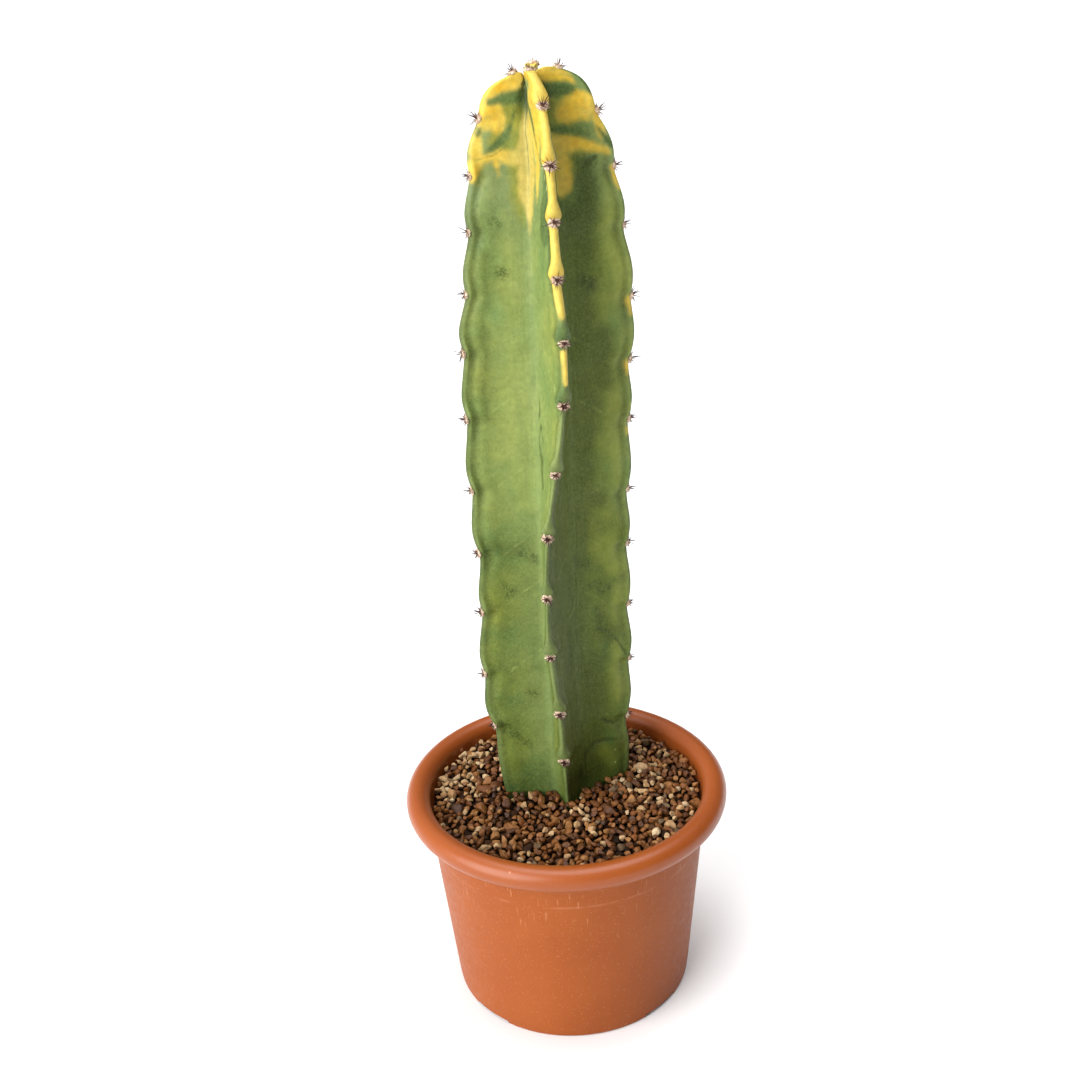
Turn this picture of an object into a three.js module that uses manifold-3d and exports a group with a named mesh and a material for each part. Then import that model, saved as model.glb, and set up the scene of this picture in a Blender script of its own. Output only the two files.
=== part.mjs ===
// A tall four-ribbed cactus, variegated at the tip, growing in a round plastic pot under a layer of gravel.
// Millimetres, +Z up. The origin is the centre of the pot's foot, and -Y is the front.
import * as THREE from "three";
import Module from "manifold-3d";
import { mergeVertices } from "three/addons/utils/BufferGeometryUtils.js";

const wasm = await Module();
wasm.setup();

// ---- Driving dimensions ------------------------------------------------------------------------------

// Clearance left between pieces that touch.
const GAP = 0.3;

// The pot. Its rim is a round bead that a hollow curve joins to the tapered wall.
const POT_HEIGHT = 111;
const RIM_RADIUS = 80;
const BEAD_RADIUS = 5.9;
const BEAD_FILLET = 5;
const FOOT_RADIUS = 60.2;
const FOOT_EDGE_RADIUS = 1.4;
const FOOT_RING_WIDTH = 5;
const FOOT_RING_HEIGHT = 3;
const WALL = 2.2;
const FLOOR = 2.5;
const FLOOR_CORNER = 4;
const POT_SIDES = 48;

// Shallow notches in the foot ring let water out.
const NOTCH_COUNT = 4;
const NOTCH_WIDTH = 23;
const NOTCH_HEIGHT = 2;

// Drainage holes: one in the middle of the floor and a ring of smaller ones.
const MIDDLE_HOLE_RADIUS = 9;
const RING_HOLE_RADIUS = 5;
const RING_HOLE_COUNT = 6;
const RING_HOLE_CIRCLE = 36;
const HOLE_SIDES = 16;

// The fill: potting soil with a layer of gravel on top.
const SOIL_TOP = 92;
const GRAVEL_TOP = 104.3;
const GRAVEL_EDGE_DROP = 0.9;
const RIPPLE = { height: 0.55, acrossX: 0.62, acrossY: 0.2, alongX: -0.17, alongY: 0.55 };
const GRAVEL_RING_STEP = 7.5;
const GRAVEL_RINGS = 8;
const MOUND = { x: 43, y: 12, rise: 1.5, spread: 12 };

// The stem. Each list below has one value for each of these crest heights, from the root to the growing
// point: the last ones rise over the crown and sink again into it.
const CREST_HEIGHTS = [
  40, 62, 84, 105, 130, 160, 190, 220, 250, 280, 312,
  340, 364, 385, 405, 421, 432, 440, 445, 447, 445, 442,
];
const VALLEY_HEIGHTS = [
  40, 62, 84, 105, 130, 160, 190, 220, 250, 280, 312,
  340, 364, 385, 405, 421, 430, 435, 438, 439.5, 440.5, 441,
];
const VALLEY_RADII = [
  2.5, 7, 10, 10, 9.8, 9.6, 9.4, 9.2, 9, 9, 9.2, 9, 8.6, 8, 7.2, 6.4, 5.5, 4.6, 3.6, 2.6, 1.5, 0.4,
];

// The ribs, anticlockwise from the front seen from above. turn is how far, in degrees, the rib's edge
// stands away from its azimuth, and rise lifts its crown. areoles are the heights of its spine cushions
// below the crown, and crown is the station of the uppermost one, counted along the crest height list.
const RIBS = [
  {
    name: "front",
    azimuth: -90,
    rise: 0,
    crown: 19,
    radii: [
      5, 10, 17, 21, 25, 29.5, 32.5, 34.5, 35.5, 36.5, 37.5,
      37, 35, 33.5, 31.5, 27.5, 22.5, 16.5, 10.5, 6, 3, 0.6,
    ],
    turn: [0, 0, -1, -1, -3, -5, -10, -10, -7, 1, 9, 11, 9, 9, 9, 10, 12, 12, 6, 0, -10, -10],
    areoles: [433, 410, 388, 365, 339, 312, 281, 251, 221, 190, 158, 129],
  },
  {
    name: "right",
    azimuth: 12,
    rise: 0.6,
    crown: 18.5,
    radii: [
      5, 12, 27, 32, 33.3, 35.5, 35.7, 35.6, 36.3, 38, 39,
      40.5, 39.3, 37, 34.3, 31, 27, 22.2, 16, 10, 4, 0.6,
    ],
    turn: [0, 0, 0, 0, 0, 1, 0, -1, 0, 1, 1, 0, -1, 0, 1, 0, 0, 0, 0, 0, 0, 0],
    areoles: [428, 405, 380, 349, 320, 292, 258, 231, 199, 169, 137],
  },
  {
    name: "back",
    azimuth: 102,
    rise: 2,
    crown: 18.4,
    radii: [
      5, 11, 24, 30, 32.5, 34.5, 36, 36.5, 36.5, 37, 37.5,
      37, 35.5, 33.5, 31, 27, 22, 16.5, 11, 7, 3.5, 0.6,
    ],
    turn: [0, 0, 0, 1, 3, 5, 5, 3, 0, -3, -4, -4, -4, -5, -8, -12, -17, -22, -25, -25, -25, -25],
    areoles: [431, 408, 384, 358, 330, 299, 268, 236, 204, 172, 140],
  },
  {
    name: "left",
    azimuth: 192,
    rise: -0.8,
    crown: 18.6,
    radii: [
      5, 12, 27, 32.2, 35.2, 39.8, 40.4, 38.8, 39.8, 40.4, 40,
      39, 35.6, 33.3, 31.5, 27.5, 22.8, 17, 10, 6.5, 3, 0.6,
    ],
    turn: [0, 0, 0, 0, -1, 0, 1, 1, 0, -1, 0, 0, 1, 0, 0, 0, 0, 0, 0, 0, 0, 0],
    areoles: [428, 405, 382, 356, 330, 300, 266, 235, 205, 172, 142],
  },
];

// The stem's axis stands a little off the pot's, and leans further over the crown. Between the two outer
// stations the crest height only rises.
const STEM_AXIS = { x: 1, y: 8 };
const CROWN_TOP = 447;
const CROWN_LEAN = { x: -2.5, y: -0.5, from: 400 };
const OUTER_STATIONS = { low: 3, high: 18 };
const HALVINGS = 24;

// A rib's edge is round. It sinks in at each spine cushion and is fullest low between two of them.
const CREST_ROUND = 2.6;
const CREST_ROUND_SHARE = 0.45;
const NOTCH_DEPTH = 2;
const BULGE_SKEW = 5 / 3;
const LEAST_RADIUS = 0.3;
const CROWN_FROM = 421;

// Rows of the skin: some below the lowest cushion, some between each two cushions, from the lower one up, and
// some above the uppermost. Each rib has its own rows, so that every cushion sits on one.
const CUSHION_ROWS = 12;
const ROOT_SHARES = [0, 0.2, 0.4, 0.55, 0.7, 0.85];
const BULGE_SHARES = [0, 0.13, 0.34, 0.7];
const CROWN_BULGE_SHARES = [0, 0.12, 0.28, 0.45, 0.62, 0.8];
const CROWN_SHARES = [0, 0.2, 0.45, 0.7, 1];
const FLANK_SHARES = [0.3, 0.68];
const FLANK_HOLLOW = 0.12;
const CREST_STEPS = 4;

// A spine cushion: an oval pad of wool with stiff spines, longest near the crown.
const PAD = { width: 4.6, height: 4.2, proud: 1.5, sides: 6, rings: 4 };
const SPINE_RADIUS = 0.36;
const SPINE_SIDES = 3;
const SPINE_LENGTH = { crown: 5.2, foot: 3 };
const SPINE_ROOT = 0.4 * PAD.proud;
const SHORTER_EACH = 0.09;
const TWIST_EACH = 37;
// Each spine's lean from the pad's own direction and its bearing around it, in degrees.
const SPINES = [
  { lean: 10, bearing: 90 },
  { lean: 46, bearing: 20 },
  { lean: 50, bearing: 150 },
  { lean: 44, bearing: 265 },
];

const UP = new THREE.Vector3(0, 0, 1);
const radians = THREE.MathUtils.degToRad;

// ---- Materials ---------------------------------------------------------------------------------------

const plastic = new THREE.MeshStandardMaterial({ color: 0xb9633a, roughness: 0.42, metalness: 0 });
const soilMix = new THREE.MeshStandardMaterial({ color: 0x3b2a1d, roughness: 0.95, metalness: 0 });
const grains = new THREE.MeshStandardMaterial({ color: 0x8a5f3c, roughness: 0.9, metalness: 0 });
const skin = new THREE.MeshStandardMaterial({ color: 0x6f8f45, roughness: 0.5, metalness: 0 });
const spineWool = new THREE.MeshStandardMaterial({ color: 0xcdb9a2, roughness: 0.85, metalness: 0 });

// ---- Solids ------------------------------------------------------------------------------------------

// A closed geometry as a solid that can be joined and cut.
function solid(geometry) {
  const bare = geometry.clone();
  bare.deleteAttribute("normal");
  bare.deleteAttribute("uv");
  const merged = mergeVertices(bare, 1e-4);
  return new wasm.Manifold(
    new wasm.Mesh({
      numProp: 3,
      vertProperties: new Float32Array(merged.attributes.position.array),
      triVerts: new Uint32Array(merged.index.array),
    }),
  );
}

function geometryOf(body) {
  const mesh = body.getMesh();
  const geometry = new THREE.BufferGeometry();
  geometry.setAttribute("position", new THREE.BufferAttribute(mesh.vertProperties, 3));
  geometry.setIndex(new THREE.BufferAttribute(mesh.triVerts, 1));
  geometry.computeVertexNormals();
  return geometry;
}

// A profile of (radius, height) points turned about the Z axis.
function turned(points, sides) {
  return new THREE.LatheGeometry(points, sides).rotateX(Math.PI / 2);
}

function node(name, geometry, material) {
  const mesh = new THREE.Mesh(geometry, material);
  mesh.name = name;
  return mesh;
}

// ---- Pot ---------------------------------------------------------------------------------------------

const BEAD_CENTRE = new THREE.Vector2(RIM_RADIUS - BEAD_RADIUS, POT_HEIGHT - BEAD_RADIUS);
const WALL_TOP_RADIUS = BEAD_CENTRE.x - BEAD_FILLET;
const WALL_TOP = BEAD_CENTRE.y - BEAD_RADIUS - BEAD_FILLET;
const FLOOR_TOP = FOOT_RING_HEIGHT + FLOOR;

// The outer radius of the tapered wall at a height.
function wallRadius(height) {
  return THREE.MathUtils.lerp(FOOT_RADIUS, WALL_TOP_RADIUS, height / WALL_TOP);
}

// Points of an arc, from one angle to another, in degrees.
function arc(x, y, radius, from, to, steps) {
  return Array.from({ length: steps + 1 }, (_, i) => {
    const angle = radians(THREE.MathUtils.lerp(from, to, i / steps));
    return new THREE.Vector2(x + radius * Math.cos(angle), y + radius * Math.sin(angle));
  });
}

function potProfile() {
  const ringInner = FOOT_RADIUS - FOOT_RING_WIDTH;
  const innerFoot = wallRadius(FLOOR_TOP + FLOOR_CORNER) - WALL;
  return [
    new THREE.Vector2(0, FOOT_RING_HEIGHT),
    new THREE.Vector2(ringInner, FOOT_RING_HEIGHT),
    new THREE.Vector2(ringInner, 0),
    ...arc(FOOT_RADIUS - FOOT_EDGE_RADIUS, FOOT_EDGE_RADIUS, FOOT_EDGE_RADIUS, -90, 0, 2),
    ...arc(BEAD_CENTRE.x, WALL_TOP, BEAD_FILLET, 180, 90, 4),
    ...arc(BEAD_CENTRE.x, BEAD_CENTRE.y, BEAD_RADIUS, -90, 180, 12).slice(1),
    new THREE.Vector2(WALL_TOP_RADIUS - WALL, WALL_TOP),
    ...arc(innerFoot - FLOOR_CORNER, FLOOR_TOP + FLOOR_CORNER, FLOOR_CORNER, 0, -90, 3),
    new THREE.Vector2(0, FLOOR_TOP),
  ];
}

// A round plug through the pot's floor, at a radius and bearing.
function drainPlug(holeRadius, circle, bearing) {
  const plug = new THREE.CylinderGeometry(holeRadius, holeRadius, 4 * FLOOR, HOLE_SIDES).rotateX(Math.PI / 2);
  plug.translate(circle * Math.cos(bearing), circle * Math.sin(bearing), FOOT_RING_HEIGHT + FLOOR / 2);
  return solid(plug);
}

function footNotch(bearing) {
  const box = new THREE.BoxGeometry(3 * FOOT_RING_WIDTH, NOTCH_WIDTH, 2 * NOTCH_HEIGHT);
  box.translate(FOOT_RADIUS - FOOT_RING_WIDTH / 2, 0, 0);
  return solid(box.rotateZ(bearing));
}

function makePot() {
  let body = solid(turned(potProfile(), POT_SIDES));
  body = body.subtract(drainPlug(MIDDLE_HOLE_RADIUS, 0, 0));
  for (let i = 0; i < RING_HOLE_COUNT; i++) {
    const bearing = (2 * Math.PI * i) / RING_HOLE_COUNT;
    body = body.subtract(drainPlug(RING_HOLE_RADIUS, RING_HOLE_CIRCLE, bearing));
  }
  for (let i = 0; i < NOTCH_COUNT; i++) {
    body = body.subtract(footNotch((2 * Math.PI * (i + 0.5)) / NOTCH_COUNT));
  }
  return node("pot", geometryOf(body), plastic);
}

// ---- Stem --------------------------------------------------------------------------------------------

const LAST_STATION = CREST_HEIGHTS.length - 1;

// A smooth curve through the crest's radius, turn and height at each station.
function crestCurve(rib) {
  const points = CREST_HEIGHTS.map((height, i) => {
    const lift = rib.rise * THREE.MathUtils.smoothstep(height, CROWN_FROM, CROWN_TOP);
    return new THREE.Vector3(rib.radii[i], rib.turn[i], height + lift);
  });
  return new THREE.CatmullRomCurve3(points, false, "catmullrom", 0.5);
}

const valleyCurve = new THREE.CatmullRomCurve3(
  VALLEY_HEIGHTS.map((height, i) => new THREE.Vector3(VALLEY_RADII[i], 0, height)),
  false,
  "catmullrom",
  0.5,
);

for (const rib of RIBS) rib.curve = crestCurve(rib);

// The stem's axis at a height.
function axisAt(height) {
  const lean = THREE.MathUtils.smoothstep(height, CROWN_LEAN.from, CROWN_TOP);
  return new THREE.Vector2(STEM_AXIS.x + CROWN_LEAN.x * lean, STEM_AXIS.y + CROWN_LEAN.y * lean);
}

// The station at which a rib's outer edge passes a height, found by halving.
function stationAt(rib, height) {
  let { low, high } = OUTER_STATIONS;
  for (let i = 0; i < HALVINGS; i++) {
    const middle = (low + high) / 2;
    if (rib.curve.getPoint(middle / LAST_STATION).z < height) low = middle;
    else high = middle;
  }
  return low;
}

// Where each rib's spine cushions sit, as stations from the crown down.
for (const rib of RIBS) {
  rib.stations = [rib.crown, ...rib.areoles.map((height) => stationAt(rib, height))];
}

// How far the edge stands out between two spine cushions, from 0 at a cushion to 1 at the fullest.
function bulge(rib, station) {
  const below = rib.stations.findIndex((s) => s <= station);
  if (below < 1) return below === 0 ? 0 : 1;
  const upper = rib.stations[below - 1];
  const share = (upper - station) / (upper - rib.stations[below]);
  return Math.sin(Math.PI * share ** BULGE_SKEW);
}

// The rib's edge at a station: radius, height and outward direction in the rib's own upright plane.
function edgeAt(rib, station, grow = 0) {
  const t = station / LAST_STATION;
  const point = rib.curve.getPoint(t);
  const along = rib.curve.getTangent(t);
  const slope = Math.hypot(along.x, along.z);
  const outward = new THREE.Vector2(along.z / slope, -along.x / slope);
  const sink = NOTCH_DEPTH * (1 - bulge(rib, station)) - grow;
  return {
    radius: Math.max(point.x - sink * outward.x, LEAST_RADIUS),
    height: point.z - sink * outward.y,
    bearing: radians(rib.azimuth + point.y),
    outward,
  };
}

// A point of the stem at a distance along a bearing from the axis, and a distance to its left.
function stemPoint(bearing, along, left, height) {
  const axis = axisAt(height);
  return new THREE.Vector3(
    axis.x + along * Math.cos(bearing) - left * Math.sin(bearing),
    axis.y + along * Math.sin(bearing) + left * Math.cos(bearing),
    height,
  );
}

// The valley between a rib and the next one anticlockwise, at their own stations.
function valleyPoint(index, stations, grow) {
  const next = (index + 1) % RIBS.length;
  const point = valleyCurve.getPoint((stations[index] + stations[next]) / 2 / LAST_STATION);
  const start = edgeAt(RIBS[index], stations[index]).bearing;
  const full = (edgeAt(RIBS[next], stations[next]).bearing - start + 4 * Math.PI) % (2 * Math.PI);
  return stemPoint(start + full / 2, point.x + Math.SQRT2 * grow, 0, point.z);
}

// One rib's share of a stem section, anticlockwise: up a flank, round the edge and down to the next valley.
function ribOutline(index, stations, grow) {
  const edge = edgeAt(RIBS[index], stations[index], grow);
  const round = Math.min(CREST_ROUND, CREST_ROUND_SHARE * edge.radius) + grow;
  const centre = edge.radius - round;
  const before = valleyPoint((index + RIBS.length - 1) % RIBS.length, stations, grow);
  const after = valleyPoint(index, stations, grow);
  const flank = (valley, side, share) => {
    const shoulder = stemPoint(edge.bearing, centre, side * round, edge.height);
    const hollow = side * FLANK_HOLLOW * round * Math.sin(Math.PI * share);
    const point = valley.clone().lerp(shoulder, share);
    point.x += hollow * Math.sin(edge.bearing);
    point.y -= hollow * Math.cos(edge.bearing);
    return point;
  };
  const points = FLANK_SHARES.map((share) => flank(before, -1, share));
  for (let i = 0; i <= CREST_STEPS; i++) {
    const angle = Math.PI * (i / CREST_STEPS - 0.5);
    const along = centre + round * Math.cos(angle);
    points.push(stemPoint(edge.bearing, along, round * Math.sin(angle), edge.height));
  }
  points.push(...FLANK_SHARES.toReversed().map((share) => flank(after, 1, share)), after);
  return points;
}

// A rib's rows, as stations from the root to the growing point.
function rowStations(rib) {
  const stops = [0, ...rib.stations.slice(-CUSHION_ROWS).toReversed(), LAST_STATION];
  const between = Array(CUSHION_ROWS - 2).fill(BULGE_SHARES);
  const shares = [ROOT_SHARES, ...between, CROWN_BULGE_SHARES, CROWN_SHARES];
  return shares.flatMap((row, i) => row.map((share) => THREE.MathUtils.lerp(stops[i], stops[i + 1], share)));
}

// The stem's closed skin, from the root end to the growing point, grown outwards by a clearance.
function stemSkin(grow) {
  const ribRows = RIBS.map(rowStations);
  const rows = ribRows[0].map((_, row) => {
    const stations = ribRows.map((ribRow) => ribRow[row]);
    return RIBS.flatMap((rib, i) => ribOutline(i, stations, grow));
  });
  const around = rows[0].length;
  const positions = rows.flat().flatMap((point) => point.toArray());
  const faces = [];
  for (let row = 0; row + 1 < rows.length; row++) {
    for (let i = 0; i < around; i++) {
      const a = row * around + i;
      const b = row * around + ((i + 1) % around);
      faces.push(a, b, b + around, a, b + around, a + around);
    }
  }
  for (const [row, turnedOver] of [[0, true], [rows.length - 1, false]]) {
    const middle = positions.length / 3;
    const centre = new THREE.Vector3();
    for (const point of rows[row]) centre.add(point);
    positions.push(...centre.divideScalar(around).toArray());
    for (let i = 0; i < around; i++) {
      const a = row * around + i;
      const b = row * around + ((i + 1) % around);
      faces.push(...(turnedOver ? [b, a, middle] : [a, b, middle]));
    }
  }
  const geometry = new THREE.BufferGeometry();
  geometry.setAttribute("position", new THREE.Float32BufferAttribute(positions, 3));
  geometry.setIndex(faces);
  geometry.computeVertexNormals();
  return geometry;
}

// ---- Fill --------------------------------------------------------------------------------------------

// A plug that fills the pot between two heights, clear of its wall.
function potFill(bottom, top, topPoints) {
  const inner = (height) => wallRadius(Math.min(height, WALL_TOP)) - WALL - GAP;
  const corner = bottom < FLOOR_TOP + FLOOR_CORNER ? FLOOR_CORNER : 0;
  const profile = [new THREE.Vector2(0, bottom), new THREE.Vector2(inner(bottom) - corner, bottom)];
  if (corner) profile.push(new THREE.Vector2(inner(bottom + corner), bottom + corner));
  profile.push(new THREE.Vector2(inner(top), top), ...topPoints, new THREE.Vector2(0, top));
  return turned(profile, POT_SIDES);
}

function makeSoil(stemSpace) {
  const fill = potFill(FLOOR_TOP + GAP, SOIL_TOP, []);
  return node("potting_soil", geometryOf(solid(fill).subtract(stemSpace)), soilMix);
}

// The gravel's surface: gently uneven, with a low mound to the right of the stem.
function gravelLift(x, y) {
  const across = Math.sin(RIPPLE.acrossX * x + RIPPLE.acrossY * y);
  const along = Math.sin(RIPPLE.alongX * x + RIPPLE.alongY * y);
  const away = ((x - MOUND.x) ** 2 + (y - MOUND.y) ** 2) / MOUND.spread ** 2;
  return RIPPLE.height * across * along + MOUND.rise * Math.exp(-away);
}

function makeDressing(stemSpace) {
  const edge = GRAVEL_TOP - GRAVEL_EDGE_DROP;
  const rings = [];
  for (let i = GRAVEL_RINGS; i > 0; i--) rings.push(new THREE.Vector2(i * GRAVEL_RING_STEP, GRAVEL_TOP));
  const fill = potFill(SOIL_TOP + GAP, edge, rings);
  const place = fill.getAttribute("position");
  for (let i = 0; i < place.count; i++) {
    const onTop = place.getZ(i) > (SOIL_TOP + edge) / 2;
    if (onTop) place.setZ(i, place.getZ(i) + gravelLift(place.getX(i), place.getY(i)));
  }
  return node("top_dressing", geometryOf(solid(fill).subtract(stemSpace)), grains);
}

// ---- Spine cushions ----------------------------------------------------------------------------------

// One spine along a direction, its root inside the pad.
function spine(direction, length) {
  const cone = new THREE.ConeGeometry(SPINE_RADIUS, length, SPINE_SIDES).translate(0, length / 2, 0);
  const turn = new THREE.Quaternion().setFromUnitVectors(new THREE.Vector3(0, 1, 0), direction);
  return solid(cone.applyQuaternion(turn).translate(0, 0, SPINE_ROOT));
}

// A cushion in its own frame: +Z points away from the stem and +Y runs up the rib.
function cushion(length, twist) {
  const pad = new THREE.SphereGeometry(1, PAD.sides, PAD.rings);
  pad.scale(PAD.width / 2, PAD.height / 2, PAD.proud);
  return SPINES.reduce((body, { lean, bearing }, i) => {
    const tilt = radians(lean);
    const heading = radians(bearing + twist);
    const flat = Math.sin(tilt);
    const direction = new THREE.Vector3(flat * Math.cos(heading), flat * Math.sin(heading), Math.cos(tilt));
    return body.add(spine(direction, length * (1 - SHORTER_EACH * i)));
  }, solid(pad));
}

// The frame of a cushion on a rib's edge.
function cushionFrame(rib, station) {
  const edge = edgeAt(rib, station);
  const across = new THREE.Vector3(-Math.sin(edge.bearing), Math.cos(edge.bearing), 0);
  const out = new THREE.Vector3(Math.cos(edge.bearing), Math.sin(edge.bearing), 0)
    .multiplyScalar(edge.outward.x)
    .addScaledVector(UP, edge.outward.y);
  const frame = new THREE.Matrix4().makeBasis(across, new THREE.Vector3().crossVectors(out, across), out);
  return frame.setPosition(stemPoint(edge.bearing, edge.radius, 0, edge.height));
}

function makeCushions(rib, stemSpace) {
  const group = new THREE.Group();
  rib.stations.forEach((station, i) => {
    const age = i / (rib.stations.length - 1);
    const length = THREE.MathUtils.lerp(SPINE_LENGTH.crown, SPINE_LENGTH.foot, age);
    const frame = cushionFrame(rib, station);
    const placed = geometryOf(cushion(length, TWIST_EACH * i)).applyMatrix4(frame);
    const trimmed = geometryOf(solid(placed).subtract(stemSpace)).applyMatrix4(frame.clone().invert());
    const mesh = node(`areole_${rib.name}_${String(i + 1).padStart(2, "0")}`, trimmed, spineWool);
    mesh.applyMatrix4(frame);
    group.add(mesh);
  });
  return group;
}

// ---- Assembly ----------------------------------------------------------------------------------------

const stemSpace = solid(stemSkin(GAP));
const plant = new THREE.Group();
plant.add(node("cactus_stem", stemSkin(0), skin), ...RIBS.map((rib) => makeCushions(rib, stemSpace)));

const pottedCactus = new THREE.Group();
pottedCactus.add(makePot(), makeSoil(stemSpace), makeDressing(stemSpace), plant);

export default pottedCactus;
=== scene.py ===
import math

import bmesh
import bpy
import numpy as np
from mathutils import Matrix, Vector


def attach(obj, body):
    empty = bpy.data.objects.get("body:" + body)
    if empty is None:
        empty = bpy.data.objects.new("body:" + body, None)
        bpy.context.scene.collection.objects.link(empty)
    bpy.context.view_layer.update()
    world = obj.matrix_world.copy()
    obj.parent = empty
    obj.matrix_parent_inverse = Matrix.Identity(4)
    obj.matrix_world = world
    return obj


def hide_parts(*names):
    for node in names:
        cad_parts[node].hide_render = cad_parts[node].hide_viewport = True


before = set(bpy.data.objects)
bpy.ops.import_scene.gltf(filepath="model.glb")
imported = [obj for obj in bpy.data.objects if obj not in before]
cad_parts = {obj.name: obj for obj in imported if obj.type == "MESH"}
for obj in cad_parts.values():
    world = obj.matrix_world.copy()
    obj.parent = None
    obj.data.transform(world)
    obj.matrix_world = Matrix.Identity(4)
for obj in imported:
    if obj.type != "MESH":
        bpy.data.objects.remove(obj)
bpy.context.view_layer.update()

MM = 0.001

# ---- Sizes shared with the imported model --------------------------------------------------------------

POT_HEIGHT = 111
RIM_RADIUS = 80
BEAD_RADIUS = 5.9
BEAD_FILLET = 5
FOOT_RADIUS = 60.2
FOOT_EDGE_RADIUS = 1.4
FOOT_RING_WIDTH = 5
FOOT_RING_HEIGHT = 3
WALL = 2.2
FLOOR = 2.5
FLOOR_CORNER = 4
NOTCH_COUNT = 4
NOTCH_WIDTH = 23
NOTCH_HEIGHT = 2
MIDDLE_HOLE_RADIUS = 9
RING_HOLE_RADIUS = 5
RING_HOLE_COUNT = 6
RING_HOLE_CIRCLE = 36
BEAD_CENTRE = (RIM_RADIUS - BEAD_RADIUS, POT_HEIGHT - BEAD_RADIUS)
WALL_TOP_RADIUS = BEAD_CENTRE[0] - BEAD_FILLET
WALL_TOP = BEAD_CENTRE[1] - BEAD_RADIUS - BEAD_FILLET
FLOOR_TOP = FOOT_RING_HEIGHT + FLOOR

GRAVEL_BOTTOM = 92.3

CREST_HEIGHTS = [
    40, 62, 84, 105, 130, 160, 190, 220, 250, 280, 312,
    340, 364, 385, 405, 421, 432, 440, 445, 447, 445, 442,
]
VALLEY_HEIGHTS = [
    40, 62, 84, 105, 130, 160, 190, 220, 250, 280, 312,
    340, 364, 385, 405, 421, 430, 435, 438, 439.5, 440.5, 441,
]
VALLEY_RADII = [
    2.5, 7, 10, 10, 9.8, 9.6, 9.4, 9.2, 9, 9, 9.2,
    9, 8.6, 8, 7.2, 6.4, 5.5, 4.6, 3.6, 2.6, 1.5, 0.4,
]
LAST_STATION = len(CREST_HEIGHTS) - 1

# The ribs, anticlockwise from the front seen from above. turn is in degrees.
RIBS = [
    dict(
        name="front", azimuth=-90, rise=0, crown=19, tip_spines=0.45,
        radii=[5, 10, 17, 21, 25, 29.5, 32.5, 34.5, 35.5, 36.5, 37.5,
               37, 35, 33.5, 31.5, 27.5, 22.5, 16.5, 10.5, 6, 3, 0.6],
        turn=[0, 0, -1, -1, -3, -5, -10, -10, -7, 1, 9, 11, 9, 9, 9, 10, 12, 12, 6, 0, -10, -10],
        cushions=[433, 410, 388, 365, 339, 312, 281, 251, 221, 190, 158, 129],
    ),
    dict(
        name="right", azimuth=12, rise=0.6, crown=18.5, tip_spines=0.85,
        radii=[5, 12, 27, 32, 33.3, 35.5, 35.7, 35.6, 36.3, 38, 39,
               40.5, 39.3, 37, 34.3, 31, 27, 22.2, 16, 10, 4, 0.6],
        turn=[0, 0, 0, 0, 0, 1, 0, -1, 0, 1, 1, 0, -1, 0, 1, 0, 0, 0, 0, 0, 0, 0],
        cushions=[428, 405, 380, 349, 320, 292, 258, 231, 199, 169, 137],
    ),
    dict(
        name="back", azimuth=102, rise=2, crown=18.4, tip_spines=0.5,
        radii=[5, 11, 24, 30, 32.5, 34.5, 36, 36.5, 36.5, 37, 37.5,
               37, 35.5, 33.5, 31, 27, 22, 16.5, 11, 7, 3.5, 0.6],
        turn=[0, 0, 0, 1, 3, 5, 5, 3, 0, -3, -4, -4, -4, -5, -8, -12, -17, -22, -25, -25, -25, -25],
        cushions=[431, 408, 384, 358, 330, 299, 268, 236, 204, 172, 140],
    ),
    dict(
        name="left", azimuth=192, rise=-0.8, crown=18.6, tip_spines=0.8,
        radii=[5, 12, 27, 32.2, 35.2, 39.8, 40.4, 38.8, 39.8, 40.4, 40,
               39, 35.6, 33.3, 31.5, 27.5, 22.8, 17, 10, 6.5, 3, 0.6],
        turn=[0, 0, 0, 0, -1, 0, 1, 1, 0, -1, 0, 0, 1, 0, 0, 0, 0, 0, 0, 0, 0, 0],
        cushions=[428, 405, 382, 356, 330, 300, 266, 235, 205, 172, 142],
    ),
]
STEM_AXIS = (1, 8)
CROWN_LEAN = (-2.5, -0.5)
LEAN_FROM = 400
CROWN_FROM = 421
CROWN_TOP = 447
OUTER_STATIONS = (3, 18)
NOTCH_DEPTH = 2
BULGE_SKEW = 5 / 3
FULLEST_SHARE = 0.66
EDGE_ROUND = 2.6
EDGE_ROUND_SHARE = 0.45
LEAST_RADIUS = 0.3

# ---- Finer shape of the stem -------------------------------------------------------------------------

ROW_STEP = 1.0
BURIED_ROW_STEP = 5.0
BURIED_TO = 95
FLANK_COLUMNS = 20
FLANK_CROWDING = 1.6
EDGE_COLUMNS = 12
EDGE_HALF_WIDTH = (1.3, 1.9)
EDGE_THICKENS = (318, 362)

# A rib's edge swells over each cushion, and the flank folds on both sides of it.
CUSHION_HALF_WIDTH = 3.5
SWELL_LIFT = 2.4
SWELL_ABOVE = 4.6
SWELL_BELOW = 2.6
SWELL_REACH = 4.5
FOLD_REACH = 8

# Each flank has a shoulder, and a neck between the shoulder and the edge. The neck ends below the crown
# and is fainter low down: NECK_FOOT of its full depth there. The finish darkens the neck as painted shade,
# NECK_BETWEEN as dark away from a cushion.
SHOULDER = dict(inset=7.5, spread=3.6, rise=0.5, wander=1.0)
NECK = dict(inset=3.9, spread=1.5, depth=0.35, wander=0.2, widen=0.5, deepen=0.65)
NECK_ENDS = (424, 398)
NECK_FADES = (190, 290)
NECK_FOOT = 0.55
NECK_BETWEEN = 0.52
FLANK_HOLLOW = 0.2
# A flank no wider than the first has no relief, and one wider than the second has all of it.
FLANK_CALM = (6, 20)

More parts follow.
